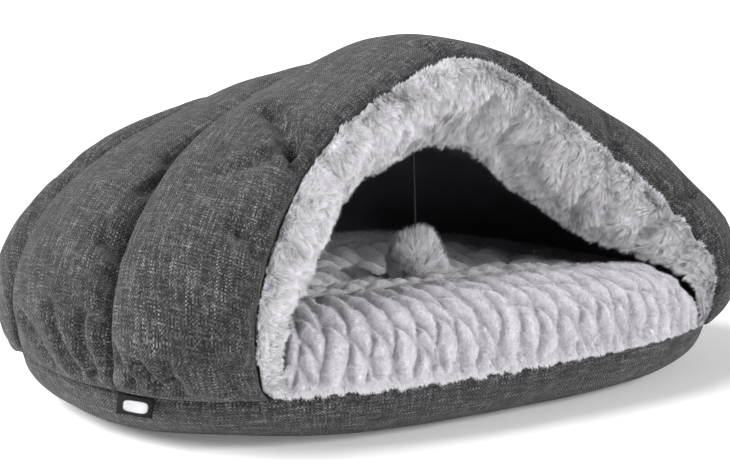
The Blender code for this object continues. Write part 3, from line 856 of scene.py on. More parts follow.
def lining_skin(columns, rows):
    """The lining, which hangs in soft folds a little under the hood's sewn lines."""
    along = np.linspace(0, 1, columns)
    lines = []
    for across in np.linspace(LINING_FIRST, 3.0, rows):
        line = hood_line(across, LINING_DEPTH, columns)
        inner = hood_line(across, LINING_DEPTH + WALL, columns)
        places = np.column_stack([along, np.full(columns, across)]) * LINING_FOLDS
        sag = 0.5 + 0.5 * uneven(places, 1.0, SEEDS["lining"])
        sag = sag * np.sin(np.pi * along) * ease(across - LINING_FIRST) * ease(3.0 - across)
        lines.append(line + unit(inner - line) * LINING_SAG * sag[:, None])
    return lift(np.array(lines))


# ---------------------------------------------------------------- modelling helpers

def deselect_all():
    if bpy.context.object and bpy.context.object.mode != "OBJECT":
        bpy.ops.object.mode_set(mode="OBJECT")
    bpy.ops.object.select_all(action="DESELECT")


def fill(layer, key, values):
    """Writes an array into a layer of a mesh."""
    layer.foreach_set(key, values.astype(np.float32).ravel())


def cut_lengths(points):
    """Each point's place on the flat cloth: its distances from the middle column and the middle row."""
    along = run_along(points.swapaxes(0, 1)).mean(axis=1)
    across = run_along(points)
    middle_row, middle_column = points.shape[0] // 2, points.shape[1] // 2
    along = np.broadcast_to(along - along[middle_column], across.shape)
    return np.stack([along, across - across[middle_row]], axis=-1)


def cloth_grid(name, points, closed_along=False, closed_across=False):
    """A grid primitive laid over the rows of `points`, with its weave's UV map in metres. Where it closes on
    itself, its edges are merged and its open ends are filled."""
    if closed_along:
        points = np.concatenate([points, points[:, :1]], axis=1)
    if closed_across:
        points = np.concatenate([points, points[:1]], axis=0)
    rows, columns = points.shape[:2]
    deselect_all()
    bpy.ops.mesh.primitive_grid_add(x_subdivisions=columns - 1, y_subdivisions=rows - 1, size=1.0)
    piece = bpy.context.object
    piece.name = piece.data.name = name
    flat = np.empty(len(piece.data.vertices) * 3, np.float32)
    piece.data.vertices.foreach_get("co", flat)
    flat = flat.reshape(-1, 3)
    column = np.rint((flat[:, 0] + 0.5) * (columns - 1)).astype(int)
    row = np.rint((flat[:, 1] + 0.5) * (rows - 1)).astype(int)
    fill(piece.data.vertices, "co", points[row, column] + ORIGIN_SHIFT)
    weave = piece.data.uv_layers.active
    weave.name = "Weave"
    owners = np.empty(len(piece.data.loops), np.int32)
    piece.data.loops.foreach_get("vertex_index", owners)
    fill(weave.data, "uv", cut_lengths(points)[row, column][owners])
    piece.data.update()
    if closed_along or closed_across:
        bpy.ops.object.mode_set(mode="EDIT")
        bpy.ops.mesh.select_all(action="SELECT")
        bpy.ops.mesh.remove_doubles(threshold=0.00001)
        bpy.ops.mesh.select_all(action="DESELECT")
        bpy.ops.mesh.select_non_manifold()
        bpy.ops.mesh.fill_holes(sides=0)
        bpy.ops.mesh.select_all(action="SELECT")
        bpy.ops.mesh.normals_make_consistent(inside=False)
        bpy.ops.object.mode_set(mode="OBJECT")
    bpy.ops.object.shade_smooth()
    return piece


def aim(piece, target):
    """Turns a light or the camera towards a place."""
    piece.rotation_euler = (Vector(target) - piece.location).to_track_quat("-Z", "Y").to_euler()


def thicken(piece, thickness, offset):
    """Turns a sheet into a closed skin of its thickness."""
    modifier = piece.modifiers.new("Thickness", "SOLIDIFY")
    modifier.thickness = thickness
    modifier.offset = offset
    bpy.ops.object.modifier_apply(modifier=modifier.name)


def dress(piece, finish, slot, *nodes):
    """Gives a finished piece its material, hangs it on the body and hides the CAD nodes that it stands for;
    the slot is not used.
    """
    piece.data.materials.clear()
    piece.data.materials.append(bpy.data.materials[finish])
    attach(piece, BODY)
    if nodes:
        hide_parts(*nodes)


def grid_frames(points, closed):
    """For each quad of a grid: its corners, its outward normal and its area."""
    after = np.roll(points, -1, axis=1) if closed else points[:, 1:]
    here = points if closed else points[:, :-1]
    corners = np.stack([here[:-1], after[:-1], after[1:], here[1:]], axis=2)
    across = corners[:, :, 2] - corners[:, :, 0]
    along = corners[:, :, 1] - corners[:, :, 3]
    normal = np.cross(along, across)
    area = np.linalg.norm(normal, axis=-1) / 2
    return corners, unit(normal), area


def scatter(points, weight, count, chance):
    """`count` chance places on a grid that closes on itself, by area times `weight`: their points, normals,
    and the row and column of each with its share past them."""
    corners, normal, area = grid_frames(points, closed=True)
    odds = (area * weight).ravel()
    picks = chance.choice(len(odds), size=count, p=odds / odds.sum())
    row, column = np.divmod(picks, area.shape[1])
    u, v = chance.random((2, count, 1))
    quad = corners[row, column]
    lower = quad[:, 0] * (1 - u) + quad[:, 1] * u
    upper = quad[:, 3] * (1 - u) + quad[:, 2] * u
    place = lower * (1 - v) + upper * v
    return place, normal[row, column], row + v[:, 0], column + u[:, 0]


def thinned(count):
    """The hairs of a pile: all of them."""
    return count // 1


def combed(places, kind):
    """The directions in which a kind of pile has been brushed, at points in space."""
    total = np.zeros((len(places), 3))
    for size, seed, share in COMBS[kind]:
        axes = [[noise.noise(Vector(place) / size + Vector((seed, axis * 9.0, 0))) for place in places]
                for axis in range(3)]
        total += np.array(axes).T * share
    return total


def pile(name, finish, kind, roots, normals, lay, length, width, chance, flat=1.0):
    """Tapered hairs of pile, joined into one mesh: each leans from its root along `lay`, less where `flat`
    is small, and their tips draw together in clumps. Attributes run from root to tip, and give each
    hair its own tint."""
    hairs, hair_swerve, clump_swerve, slant, rough, draw, clump_tilt, twist = CLUMPS[kind]
    count = len(roots)
    clumps = max(count // hairs, 1)
    lay = level_with(lay, normals)
    heads = kdtree.KDTree(clumps)
    picked = chance.choice(count, size=clumps, replace=False)
    for index, head in enumerate(picked):
        heads.insert(roots[head], index)
    heads.balance()
    nearest = np.array([heads.find(root)[1] for root in roots])
    owner = picked[nearest]
    reach = length * chance.uniform(*HAIR_LENGTHS, count) * chance.uniform(*CLUMP_LENGTHS, clumps)[nearest]
    swerve = chance.normal(0, hair_swerve, (count, 3))
    swerve += chance.normal(0, clump_swerve, (clumps, 3))[nearest]
    lean = level_with(unit(lay + swerve), normals)
    slope = np.clip(slant * flat + chance.normal(0, rough, count), 0.0, 0.99)[:, None]
    tip = roots + reach[:, None] * (lean * slope + normals * np.sqrt(1 - slope ** 2))
    tip = tip + (tip[owner] - tip) * draw
    side = unit(np.cross(tip - roots, normals + chance.normal(0, twist, (count, 3))))
    half = side * (width * chance.uniform(*HAIR_WIDTHS, count) / 2)[:, None]
    verts = np.stack([roots - half, roots + half, tip], axis=1).reshape(-1, 3) + ORIGIN_SHIFT
    mesh = bpy.data.meshes.new(name)
    mesh.vertices.add(count * 3)
    fill(mesh.vertices, "co", verts)
    mesh.loops.add(count * 3)
    mesh.loops.foreach_set("vertex_index", np.arange(count * 3, dtype=np.int32))
    mesh.polygons.add(count)
    mesh.polygons.foreach_set("loop_start", np.arange(count, dtype=np.int32) * 3)
    mesh.update(calc_edges=True)
    mesh.validate()
    shade = TINT_SHARE * chance.random(count) + (1 - TINT_SHARE) * chance.random(clumps)[nearest]
    # pile_height runs from root to tip; the finish paints shade towards each hair's root from it.
    values = {"pile_height": np.tile([0.0, 0.0, 1.0], count), "pile_tint": np.repeat(shade, 3)}
    for attribute, value in values.items():
        fill(mesh.attributes.new(attribute, "FLOAT", "POINT").data, "value", value)
    tilt = chance.normal(0, clump_tilt, (clumps, 3))[nearest]
    facing = unit(np.cross(side, tip - roots)) * PILE_SHARPNESS
    corner_normals = np.repeat(unit(normals + tilt + facing), 3, axis=0)
    mesh.polygons.foreach_set("use_smooth", np.ones(count, bool))
    mesh.normals_split_custom_set(corner_normals.astype(np.float32))
    piece = bpy.data.objects.new(name, mesh)
    bpy.context.scene.collection.objects.link(piece)
    bake_map(mesh, count)
    dress(piece, finish, "plush")
    return piece


def bake_map(mesh, count):
    """A UV map that gives every hair of the pile its own small field."""
    side = math.ceil(math.sqrt(count))
    row, column = np.divmod(np.arange(count), side)
    field = np.array([(0.1, 0.1), (0.9, 0.1), (0.5, 0.9)])
    places = (np.stack([column, row], axis=1)[:, None] + field) / side
    fill(mesh.uv_layers.new(name="OFBake").data, "uv", places)


# ---------------------------------------------------------------- materials

class Value:
    """A socket of a material's node. Arithmetic on it adds Math nodes."""

    def __init__(self, finish, socket):
        self.finish = finish
        self.socket = socket

    def maths(self, operation, *others):
        return self.finish.node("ShaderNodeMath", {"operation": operation}, self, *others)

    def __add__(self, other):
        return self.maths("ADD", other)

    __radd__ = __add__

    def __sub__(self, other):
        return self.maths("SUBTRACT", other)

    def __rsub__(self, other):
        return self.finish.node("ShaderNodeMath", {"operation": "SUBTRACT"}, other, self)

    def __mul__(self, other):
        return self.maths("MULTIPLY", other)

    def __truediv__(self, other):
        return self.maths("DIVIDE", other)

    def wave(self, turns):
        """A sine of the value, of so many radians for each of its units."""
        return (self * turns).maths("SINE")


class Finish:
    """A material, built from its Principled shader's sockets."""

    def __init__(self, name, constants):
        self.material = bpy.data.materials.new(name)
        self.material.use_nodes = True
        self.tree = self.material.node_tree
        self.shader = self.tree.nodes["Principled BSDF"]
        for socket, value in constants.items():
            self.put(socket, value)

    def node(self, kind, settings, *inputs, output=0):
        """Adds a node, with its settings first and then its inputs in order; None leaves one alone."""
        made = self.tree.nodes.new(kind)
        for name, setting in settings.items():
            setattr(made, name, setting)
        enabled = [socket for socket in made.inputs if socket.enabled]
        for socket, value in zip(enabled, inputs):
            if isinstance(value, Value):
                self.tree.links.new(value.socket, socket)
            elif value is not None:
                socket.default_value = value
        outputs = [socket for socket in made.outputs if socket.enabled]
        return Value(self, outputs[output])

    def put(self, name, value):
        """Sets or links one socket of the shader."""
        if isinstance(value, Value):
            self.tree.links.new(value.socket, self.shader.inputs[name])
        else:
            self.shader.inputs[name].default_value = value

    def parts(self, vector):
        """A vector's X, Y and Z."""
        outputs = self.node("ShaderNodeSeparateXYZ", {}, vector).socket.node.outputs
        return [Value(self, outputs[axis]) for axis in "XYZ"]

    def flat_cloth(self):
        """The place on the flat cloth: along it and across it."""
        return self.parts(self.node("ShaderNodeUVMap", {"uv_map": "Weave"}))[:2]

    def solid(self):
        """The place in the object's own space."""
        return self.node("ShaderNodeTexCoord", {}, output=3)

    def place(self, x, y, z=0.0):
        return self.node("ShaderNodeCombineXYZ", {}, x, y, z)

    def noise(self, vector, scale, detail=2.0):
        """Soft noise from 0 to 1."""
        return self.node("ShaderNodeTexNoise", {}, vector, scale, detail, 0.5)

    def stretch(self, value, low, high):
        """A value from `low` to `high`, clamped and spread from 0 to 1."""
        return self.node("ShaderNodeMapRange", {"clamp": True}, value, low, high, 0.0, 1.0)

    def blend(self, share, first, second):
        """A colour between two."""
        return self.node("ShaderNodeMix", {"data_type": "RGBA"}, share, first, second)

    def tinted(self, colour, value):
        """A colour made darker or lighter by a number."""
        grey = self.node("ShaderNodeCombineColor", {}, value, value, value)
        return self.node("ShaderNodeMix", {"data_type": "RGBA", "blend_type": "MULTIPLY"}, 1.0, colour, grey)

    def relief(self, height, depth, strength):
        """Bump of `height`, `depth` metres deep."""
        bump = self.node("ShaderNodeBump", {}, strength, depth)
        self.tree.links.new(height.socket, bump.socket.node.inputs["Height"])
        self.put("Normal", bump)


def woven_finish(sizes, colours):
    """Heathered plain weave: slubbed threads of charcoal and pale grey that pass over and under."""
    cloth = Finish("Woven cloth", {"Roughness": 0.92, "Specular IOR Level": 0.25, "Sheen Weight": 0.15})
    along, across = cloth.flat_cloth()
    warp, weft = along / sizes.thread_pitch, across / sizes.thread_pitch
    warp_number, weft_number = warp.maths("FLOOR"), weft.maths("FLOOR")
    over = (warp_number + weft_number).maths("FLOORED_MODULO", 2.0)
    warp_slub = cloth.noise(cloth.place(warp_number * THREAD_STEP, across / sizes.slub_length), 1.0)
    weft_slub = cloth.noise(cloth.place(along / sizes.slub_length, weft_number * THREAD_STEP, 5.0), 1.0)
    fleck = cloth.node("ShaderNodeTexWhiteNoise", {"noise_dimensions": "2D"},
                       cloth.place(warp_number, weft_number))
    warp_tone = cloth.stretch(warp_slub, 0.30, 0.74) * THREAD_SPREAD + WARP_PALE
    weft_tone = cloth.stretch(weft_slub, 0.28, 0.72) * THREAD_SPREAD + WEFT_PALE
    thread = warp_tone * over + weft_tone * (1 - over) + (fleck - 0.5) * sizes.fleck
    tone = cloth.stretch(thread, 0.0, 1.0).maths("POWER", THREAD_CONTRAST)
    faded = cloth.noise(cloth.solid(), FADE_SCALE)
    cloth.put("Base Color", cloth.blend(tone * (0.9 + faded * 0.2), colours.woven_dark, colours.woven_light))
    warp_round, weft_round = (number.maths("FRACT").wave(math.pi) for number in (warp, weft))
    cloth.relief(warp_round * over + weft_round * (1 - over) + thread * 0.5, sizes.thread_pitch * 0.4, 0.9)


def plush_finish(name, colour):
    """Plush under its pile: brushed in patches."""
    plush = Finish(name, {"Roughness": 0.95, "Specular IOR Level": 0.2, "Sheen Weight": 0.35,
                          "Sheen Roughness": 0.5})
    place = plush.solid()
    nap = plush.noise(place, NAP_SCALE, 3.0)
    hairs = plush.noise(place, HAIR_SCALE)
    plush.put("Base Color", plush.tinted(colour, 0.80 + nap * 0.22 + hairs * 0.12))
    plush.relief(hairs + nap * 0.6, 0.0012, 0.6)


def pile_finish(name, colour, shaded_root_tone, spread):
    """Hairs of pile: darker at their roots as painted shade between the hairs, each of its own tone."""
    locks = Finish(name, {"Roughness": 0.85, "Specular IOR Level": 0.3, "Sheen Weight": 0.3})
    height, tint = (locks.node("ShaderNodeAttribute", {"attribute_name": attribute}, output=2)
                    for attribute in ("pile_height", "pile_tint"))
    # Painted shade: each hair's tone falls towards its root, where the other hairs shade it.
    tone = (shaded_root_tone + height * (1 - shaded_root_tone)) * (1 - spread / 2 + tint * spread)
    locks.put("Base Color", locks.tinted(colour, tone))


def lining_finish(colours):
    """Smooth dark lining with a fine twill."""
    lining = Finish("Lining", {"Roughness": 0.62, "Sheen Weight": 0.25})
    along, across = lining.flat_cloth()
    worn = lining.noise(lining.solid(), WORN_SCALE, 3.0)
    lining.put("Base Color", lining.tinted(colours.lining, 0.75 + worn * 0.5))
    lining.relief((along + across).wave(TWILL) * 0.4 + worn, 0.0006, 0.5)


def elastic_finish(colours):
    """Black covered elastic, braided on the slant."""
    elastic = Finish("Elastic", {"Roughness": 0.55})
    x, y, z = elastic.parts(elastic.solid())
    braid = (z + x + y).wave(BRAID)
    elastic.put("Base Color", elastic.tinted(colours.elastic, 1.0 + braid * 0.3))
    elastic.relief(braid, 0.0002, 0.6)


def label_finish(colours):
    """Black woven tape with a silver patch that is left bare."""
    tape = Finish("Label tape", {"Specular IOR Level": 0.15})
    along, across = tape.flat_cloth()
    wide = ((along - PATCH_SHIFT) / PATCH_SIZE[0]).maths("ABSOLUTE").maths("POWER", 4.0)
    high = (across / PATCH_SIZE[1]).maths("ABSOLUTE").maths("POWER", 4.0)
    patch = 1 - tape.stretch(wide + high, 0.7, 1.1)
    tape.put("Base Color", tape.blend(patch * 0.75, colours.label, colours.silver))
    tape.put("Roughness", 0.6 - patch * 0.25)
    tape.put("Metallic", patch * 0.6)
    tape.relief(across.wave(TAPE_RIB), 0.0002, 0.5)


def floor_finish(colours):
    """Pale matt floor."""
    floor = Finish("Studio floor", {"Roughness": 0.9, "Emission Color": WHITE,
                                    "Emission Strength": FLOOR_GLOW})
    faint = floor.noise(floor.solid(), FLOOR_SCALE)
    floor.put("Base Color", floor.tinted(colours.floor, 0.99 + faint * 0.02))
    return floor.material


# ---------------------------------------------------------------- what a user may change

def length(name, description, default):
    return bpy.props.FloatProperty(name=name, description=description, default=default, min=0.0,
                                   precision=4, unit="LENGTH")


def colour(name, description, default):
    return bpy.props.FloatVectorProperty(name=name, description=description, default=(*default, 1.0),
                                         subtype="COLOR", size=4, min=0.0, max=1.0)


class CatCaveSizes(bpy.types.PropertyGroup):
    """Sizes of the cloth's and the plush's fine forms."""

    thread_pitch: length("Thread pitch", "Distance between the woven cloth's threads", 0.00130)
    slub_length: length("Slub length", "Usual length of a thick place in a thread", 0.022)
    fleck: bpy.props.FloatProperty(name="Fleck", description="Contrast between crossings", default=0.35)
    gather_pitch: length("Gather pitch", "Distance between the gathers along a seam", 0.016)
    gather_length: length("Gather length", "How far a gather runs from its seam", 0.014)
    gather_depth: length("Gather depth", "Depth of the gathers at a seam", 0.0024)
    lobe_round: length("Lobe rounding", "Distance over which a lobe of the plush rounds off", 0.0078)
    collar_pile: length("Collar pile", "Length of the pile on the mouth roll", 0.0088)
    pad_pile: length("Pad pile", "Length of the pile on the plush top", 0.0036)
    fringe_pile: length("Fringe", "Length of the pile that hangs over the front seam", 0.0062)
    pompom_pile: length("Pompom pile", "Length of the pompom's pile", 0.0098)
    hair_width: length("Hair width", "Width of one hair of pile at its root", 0.00044)


class CatCaveColours(bpy.types.PropertyGroup):
    """Colours of the cat cave and of its stage."""

    woven_dark: colour("Dark thread", "Charcoal threads of the woven cloth", (0.005, 0.005, 0.0058))
    woven_light: colour("Pale thread", "Pale threads of the woven cloth", (0.225, 0.220, 0.229))
    plush: colour("Plush", "Light grey plush", (0.800, 0.784, 0.826))
    # Painted shade: a darker copy of the plush for the backing under the long pile, standing in for the
    # shade between the hairs.
    roots: colour("Shaded pile roots", "Plush between the roots of the long pile", (0.340, 0.332, 0.355))
    collar: colour("Collar plush", "Pile of the mouth roll", (0.890, 0.875, 0.915))
    lining: colour("Lining", "Dark cloth inside the hood", (0.105, 0.100, 0.120))
    elastic: colour("Elastic", "Cord that holds the toy", (0.006, 0.006, 0.007))
    label: colour("Label", "Black tape of the side tab", (0.006, 0.006, 0.007))
    silver: colour("Silver", "Bare patch on the side tab", (0.420, 0.420, 0.430))
    floor: colour("Floor", "Floor of the studio", (0.950, 0.950, 0.950))


# ---------------------------------------------------------------- operators

class CATCAVE_OT_base(bpy.types.Operator):
    """Makes the stuffed woven border that the bed stands on"""

    bl_idname = "cat_cave.base"
    bl_label = "Woven base"

    def execute(self, context):
        sizes = context.scene.cat_cave_sizes
        piece = cloth_grid("base_cloth", base_skin(BASE_COLUMNS, BASE_ROWS, sizes), closed_along=True)
        dress(piece, "Woven cloth", "woven", "base_cushion")
        return {"FINISHED"}


class CATCAVE_OT_hood(bpy.types.Operator):
    """Makes the hood's three stuffed panels, with their gathers and creases"""

    bl_idname = "cat_cave.hood"
    bl_label = "Hood panels"

    def execute(self, context):
        sizes = context.scene.cat_cave_sizes
        for name, node, first, crown, slack in PANELS:
            outer, inner = panel_skins(name, first, crown, slack, HOOD_COLUMNS, HOOD_ROWS)
            outer = gathered(outer, first, sizes)
            outer = pressed(outer, HOOD_CREASES[name], grid_normals(outer))
            ring = np.concatenate([outer, inner[::-1][::INNER_STEP]])
            piece = cloth_grid(name, ring, closed_across=True)
            dress(piece, "Woven cloth", "woven", node)
        return {"FINISHED"}


class CATCAVE_OT_lining(bpy.types.Operator):
    """Hangs the dark lining inside the hood"""

    bl_idname = "cat_cave.lining"
    bl_label = "Lining"

    def execute(self, context):
        skin = lining_skin(LINING_COLUMNS, LINING_ROWS)
        area = grid_frames(skin, closed=False)[2].sum()
        piece = cloth_grid("lining_cloth", skin)
        thicken(piece, LINING_THICK, -1.0)
        dress(piece, "Lining", "lining", "hood_lining")
        return {"FINISHED"}


class CATCAVE_OT_collar(bpy.types.Operator):
    """Makes the plush roll round the mouth, with its pile"""

    bl_idname = "cat_cave.collar"
    bl_label = "Mouth roll"

    def execute(self, context):
        sizes = context.scene.cat_cave_sizes
        skin, out = collar_skin(COLLAR_FINER_ALONG, COLLAR_FINER_ROUND)
        skin = self.rumpled(skin, out)
        piece = cloth_grid("collar_cloth", skin, closed_along=True)
        # The roll's backing takes the darker roots colour: painted shade under its pile.
        dress(piece, "Shaded pile roots", "plush", "mouth_collar")
        half = len(skin) // 2
        for (side, seed, fan), rows in zip(COLLAR_HALVES, (slice(0, half + 1), slice(half, None))):
            self.grow(side, seed, fan, skin[rows], out[rows], sizes)
        return {"FINISHED"}

    def rumpled(self, skin, out):
        """The roll's surface drawn in by its pile's depth, with its creases and soft lumps."""
        facing = section_outward(skin)
        size = section_size(skin)
        room = np.minimum(COLLAR_SUNK, COLLAR_SUNK_SHARE * size)[:, None, None]
        along = run_along(skin[:, 0])[:, None] * np.ones(skin.shape[1])
        share = np.arange(skin.shape[1]) / skin.shape[1] * np.ones((len(skin), 1))
        slant = along + LUMP_SLANT * np.sin(share * LUMP_TURNS[0] + along * LUMP_TURNS[1])
        height = np.zeros(skin.shape[:2])
        for number, (size_along, size_round, rise) in enumerate(COLLAR_LUMPS):
            places = np.stack([slant / size_along, share * 4 * COLLAR_REACH / size_round], axis=-1)
            height += rise * uneven(places, 1.0, SEEDS["roll"] + number)
        fade = ease(np.minimum(share, 1 - share) / LUMP_EDGE) * ease(size / LUMP_ROOM)[:, None]
        skin = skin + facing * (height * fade)[..., None] - facing * room
        over = mouth_shift(np.linspace(0, 1, len(skin)))
        skin = skin + out[:, None] * over[:, None, None]
        turned = skin.swapaxes(0, 1)
        return pressed(turned, COLLAR_CREASES, facing.swapaxes(0, 1)).swapaxes(0, 1)

    def grow(self, side, seed, fan, skin, out, sizes):
        """Pile on one half of the roll: it lies inwards across the band and fans out over the seam."""
        chance = np.random.default_rng(seed)
        share = np.arange(skin.shape[1]) / skin.shape[1]
        near_seam = bell(share, SEAM_SPAN) + bell(1 - share, SEAM_REAR_SPAN)
        weight = np.where(share < COLLAR_FRONT_SHARE, 1.0, COLLAR_REAR_WEIGHT) + SEAM_WEIGHT * near_seam
        weight = np.broadcast_to(weight, (len(skin) - 1, skin.shape[1]))
        place, normal, row, column = scatter(skin, weight, thinned(COLLAR_LOCKS), chance)
        away = out[np.minimum(np.rint(row).astype(int), len(out) - 1)]
        share_round = column / skin.shape[1]
        from_seam = share_round + chance.normal(0, FAN_UNEVEN, len(place))
        turned = (1 - 2 * ease(from_seam / fan))[:, None]
        flat = 1 - SEAM_RAISED * bell(share_round, SEAM_SPAN)
        to_foot = (row if side == "left" else len(skin) - row) / len(skin)
        trimmed = 1 - COLLAR_TRIM * bell(share_round, COLLAR_TRIM_SPAN)
        trimmed *= COLLAR_FOOT_PILE + (1 - COLLAR_FOOT_PILE) * ease(to_foot / COLLAR_FOOT_SPAN)
        lay = away * turned + combed(place, "collar")
        pile("collar_pile_" + side, "Collar pile", "collar", place, normal, lay,
             sizes.collar_pile * trimmed, sizes.hair_width, chance, flat)


class CATCAVE_OT_pad(bpy.types.Operator):
    """Makes the plush top, a ribbed roll round a hollow, with its short pile and the seam's fringe"""

    bl_idname = "cat_cave.pad"
    bl_label = "Plush top"

    def execute(self, context):
        sizes = context.scene.cat_cave_sizes
        skin, on_lip, distance = pad_skin(PAD_ROWS, sizes)
        piece = cloth_grid("pad_cloth", skin, closed_along=True)
        dress(piece, "Plush", "plush", "plush_pad")
        rows = np.arange(len(skin) - 1)[:, None]
        lip = on_lip[None, :] & (rows < PAD_ROWS)
        left = distance < 0
        for name, seed, locks, longer in PAD_PILES:
            where = {"lip_pile_left": lip & left, "lip_pile_right": lip & ~left, "dish_pile": ~lip}[name]
            chance = np.random.default_rng(seed)
            place, normal, _, _ = scatter(skin, where.astype(float), thinned(locks), chance)
            pile(name, "Short pile", "pad", place, normal, LAYS["pad"] + combed(place, "pad"),
                 sizes.pad_pile * longer, sizes.hair_width, chance)
        self.fringe(skin[:3], on_lip, distance, sizes)
        return {"FINISHED"}

    def fringe(self, edge, on_lip, distance, sizes):
        """Pile that the front seam has caught, which hangs over the woven border in small tufts."""
        chance = np.random.default_rng(SEEDS["fringe"])
        line = np.column_stack([distance, np.zeros(len(distance))])
        tufts = ease(uneven(line, TUFT_SIZE, SEEDS["tufts"]) * TUFT_CONTRAST + TUFT_LEVEL)
        weight = np.broadcast_to(on_lip * (TUFT_GAP + (1 - TUFT_GAP) * tufts), (2, len(on_lip)))
        place, _, _, column = scatter(edge, weight, FRINGE_LOCKS, chance)
        outward = rim_outward(place)
        numbers = np.arange(len(tufts))
        longer = FRINGE_LENGTHS[0] + FRINGE_LENGTHS[1] * np.interp(column, numbers, tufts)
        to_right = np.interp(column, numbers, distance) / FRINGE_SPAN + FRINGE_START
        longer *= 1 - FRINGE_SHORTER * ease(to_right)
        pile("seam_fringe", "Short pile", "fringe", place, outward, outward * FRINGE_OUT + LAYS["fringe"],
             sizes.fringe_pile * longer, sizes.hair_width, chance)


class CATCAVE_OT_toy(bpy.types.Operator):
    """Hangs the pompom on its elastic"""

    bl_idname = "cat_cave.toy"
    bl_label = "Toy"

    def execute(self, context):
        sizes = context.scene.cat_cave_sizes
        route = np.array(CORD_ROUTE)
        places = np.linspace(0, 1, len(route))
        fits = [np.polynomial.Polynomial.fit(places, route[:, axis], 3) for axis in range(3)]
        line = np.stack([fit(np.linspace(0, 1, CORD_POINTS)) for fit in fits], axis=-1) + ORIGIN_SHIFT
        curve = bpy.data.curves.new("toy_elastic", "CURVE")
        curve.dimensions = "3D"
        curve.bevel_depth = CORD_DIAMETER / 2
        curve.bevel_resolution = 3
        curve.use_fill_caps = True
        spline = curve.splines.new("POLY")
        spline.points.add(len(line) - 1)
        for point, place in zip(spline.points, line):
            point.co = (*place, 1.0)
        elastic = bpy.data.objects.new("toy_elastic", curve)
        context.scene.collection.objects.link(elastic)
        dress(elastic, "Elastic", "elastic", "toy_cord")
        core, fur = self.pompom(sizes)
        return {"FINISHED"}

    def pompom(self, sizes):
        """A lumpy ball under ragged locks."""
        chance = np.random.default_rng(SEEDS["pompom"])
        turn = np.linspace(0, 2 * np.pi, POMPOM_COLUMNS, endpoint=False)
        rise = np.linspace(-np.pi / 2, np.pi / 2, POMPOM_ROWS)[:, None]
        ball = np.stack([np.cos(turn) * np.cos(rise), np.sin(turn) * np.cos(rise),
                         np.sin(rise) * np.ones(POMPOM_COLUMNS)], axis=-1)
        lumpy = 1 + POMPOM_LUMP * uneven(ball, POMPOM_LUMP_SIZE, SEEDS["ball"])
        ball = ball * (POMPOM_CORE * lumpy)[..., None] + POMPOM_CENTRE
        core = cloth_grid("pompom_core", ball, closed_along=True)
        # The pompom's core takes the darker roots colour: painted shade under its locks.
        dress(core, "Shaded pile roots", "plush", "toy_pompom")
        everywhere = np.ones((POMPOM_ROWS - 1, POMPOM_COLUMNS))
        place, normal, _, _ = scatter(ball, everywhere, thinned(POMPOM_LOCKS), chance)
        tufted = ease(0.5 + TUFT_CONTRAST * uneven(place, POMPOM_TUFT_SIZE, SEEDS["locks"]))
        on_top = ease(normal[:, 2] * 2 - 1)
        ragged = POMPOM_SHORTEST + POMPOM_TUFT * tufted + POMPOM_TOP_TUFT * on_top
        lay = combed(place, "pompom") + LAYS["pompom"]
        fur = pile("pompom_pile", "Collar pile", "pompom", place, normal, lay,
                   sizes.pompom_pile * ragged, sizes.hair_width, chance)
        return core, fur


class CATCAVE_OT_label(bpy.types.Operator):
    """Sews the side tab to the seam"""

    bl_idname = "cat_cave.label"
    bl_label = "Side tab"

    def execute(self, context):
        turns = np.linspace(*LABEL_TURNS, LABEL_COLUMNS)
        top = np.column_stack([rim_points(turns, -3 * GAP), np.full(LABEL_COLUMNS, RIM_HEIGHT - GAP)])
        out = rim_outward(top)
        curl = LABEL_CURL * np.sin(np.linspace(0, LABEL_WAVES * np.pi, LABEL_COLUMNS))
        drop = unit(top[-1] - top[0]) * LABEL_SLANT - (0, 0, LABEL_DROP)
        rows = [top + out * (curl * down + GAP)[:, None] + drop * down
                for down in np.linspace(0, 1, LABEL_ROWS)]
        piece = cloth_grid("side_tab", np.array(rows))
        thicken(piece, LABEL_THICK, 0.0)
        dress(piece, "Label tape", "label", "side_label")
        return {"FINISHED"}


class CATCAVE_OT_finishes(bpy.types.Operator):
    """Mixes the materials of the cat cave"""

    bl_idname = "cat_cave.finishes"
    bl_label = "Finishes"

    def execute(self, context):
        sizes, colours = context.scene.cat_cave_sizes, context.scene.cat_cave_colours
        woven_finish(sizes, colours)
        plush_finish("Plush", colours.plush)
        # A darker copy of the plush: painted shade for the backing under the pile.
        plush_finish("Shaded pile roots", colours.roots)
        # The third number is each pile's tone at its roots, a painted shade between the hairs.
        pile_finish("Collar pile", colours.collar, 0.45, 0.60)
        pile_finish("Short pile", colours.plush, 0.70, 0.50)
        lining_finish(colours)
        elastic_finish(colours)
        label_finish(colours)
        return {"FINISHED"}


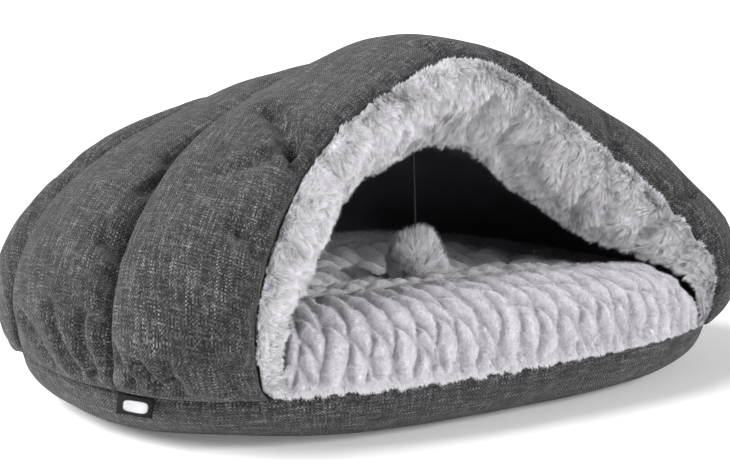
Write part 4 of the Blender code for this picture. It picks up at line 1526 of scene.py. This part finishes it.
class CATCAVE_OT_stage(bpy.types.Operator):
    """Sets the floor, the soft studio light and the camera"""

    bl_idname = "cat_cave.stage"
    bl_label = "Studio"

    def execute(self, context):
        deselect_all()
        bpy.ops.mesh.primitive_plane_add(size=FLOOR_SIZE, location=(0.0, 0.0, 0.0))
        floor = context.object
        floor.name = "studio_floor"
        floor.data.materials.append(floor_finish(context.scene.cat_cave_colours))
        world = bpy.data.worlds.new("Studio")
        world.use_nodes = True
        background = world.node_tree.nodes["Background"]
        background.inputs["Color"].default_value = WHITE
        background.inputs["Strength"].default_value = WORLD_LIGHT
        context.scene.world = world
        for name, place, width, strength in LIGHTS:
            deselect_all()
            bpy.ops.object.light_add(type="SUN", location=place)
            light = context.object
            light.name = name
            light.data.angle = math.radians(width)
            light.data.energy = strength
            aim(light, (0.0, 0.0, 0.0))
        deselect_all()
        bpy.ops.object.camera_add(location=CAMERA_AT)
        camera = context.object
        aim(camera, CAMERA_TARGET)
        camera.data.lens = CAMERA_LENS
        camera.data.sensor_width = CAMERA_SENSOR
        context.scene.camera = camera
        context.scene.view_settings.view_transform = "Standard"
        return {"FINISHED"}


PIECE_OPERATORS = (
    CATCAVE_OT_finishes,
    CATCAVE_OT_stage,
    CATCAVE_OT_toy,
    CATCAVE_OT_base,
    CATCAVE_OT_hood,
    CATCAVE_OT_lining,
    CATCAVE_OT_collar,
    CATCAVE_OT_pad,
    CATCAVE_OT_label,
)


class CATCAVE_PT_panel(bpy.types.Panel):
    """Lists the steps that dress the cat cave, with its sizes and colours"""

    bl_idname = "CATCAVE_PT_panel"
    bl_label = "Cat Cave"
    bl_space_type = "VIEW_3D"
    bl_region_type = "UI"
    bl_category = "Cat Cave"

    def draw(self, context):
        column = self.layout.column(align=True)
        for step in PIECE_OPERATORS:
            column.operator(step.bl_idname)
        for group in (context.scene.cat_cave_sizes, context.scene.cat_cave_colours):
            box = self.layout.box()
            for name in group.__annotations__:
                box.prop(group, name)


CLASSES = (CatCaveSizes, CatCaveColours, *PIECE_OPERATORS, CATCAVE_PT_panel)


def register():
    for item in CLASSES:
        bpy.utils.register_class(item)
    bpy.types.Scene.cat_cave_sizes = bpy.props.PointerProperty(type=CatCaveSizes)
    bpy.types.Scene.cat_cave_colours = bpy.props.PointerProperty(type=CatCaveColours)


def unregister():
    del bpy.types.Scene.cat_cave_colours
    del bpy.types.Scene.cat_cave_sizes
    for item in reversed(CLASSES):
        bpy.utils.unregister_class(item)


def main():
    register()
    for step in PIECE_OPERATORS:
        group, name = step.bl_idname.split(".")
        getattr(getattr(bpy.ops, group), name)()


if __name__ == "__main__":
    main()
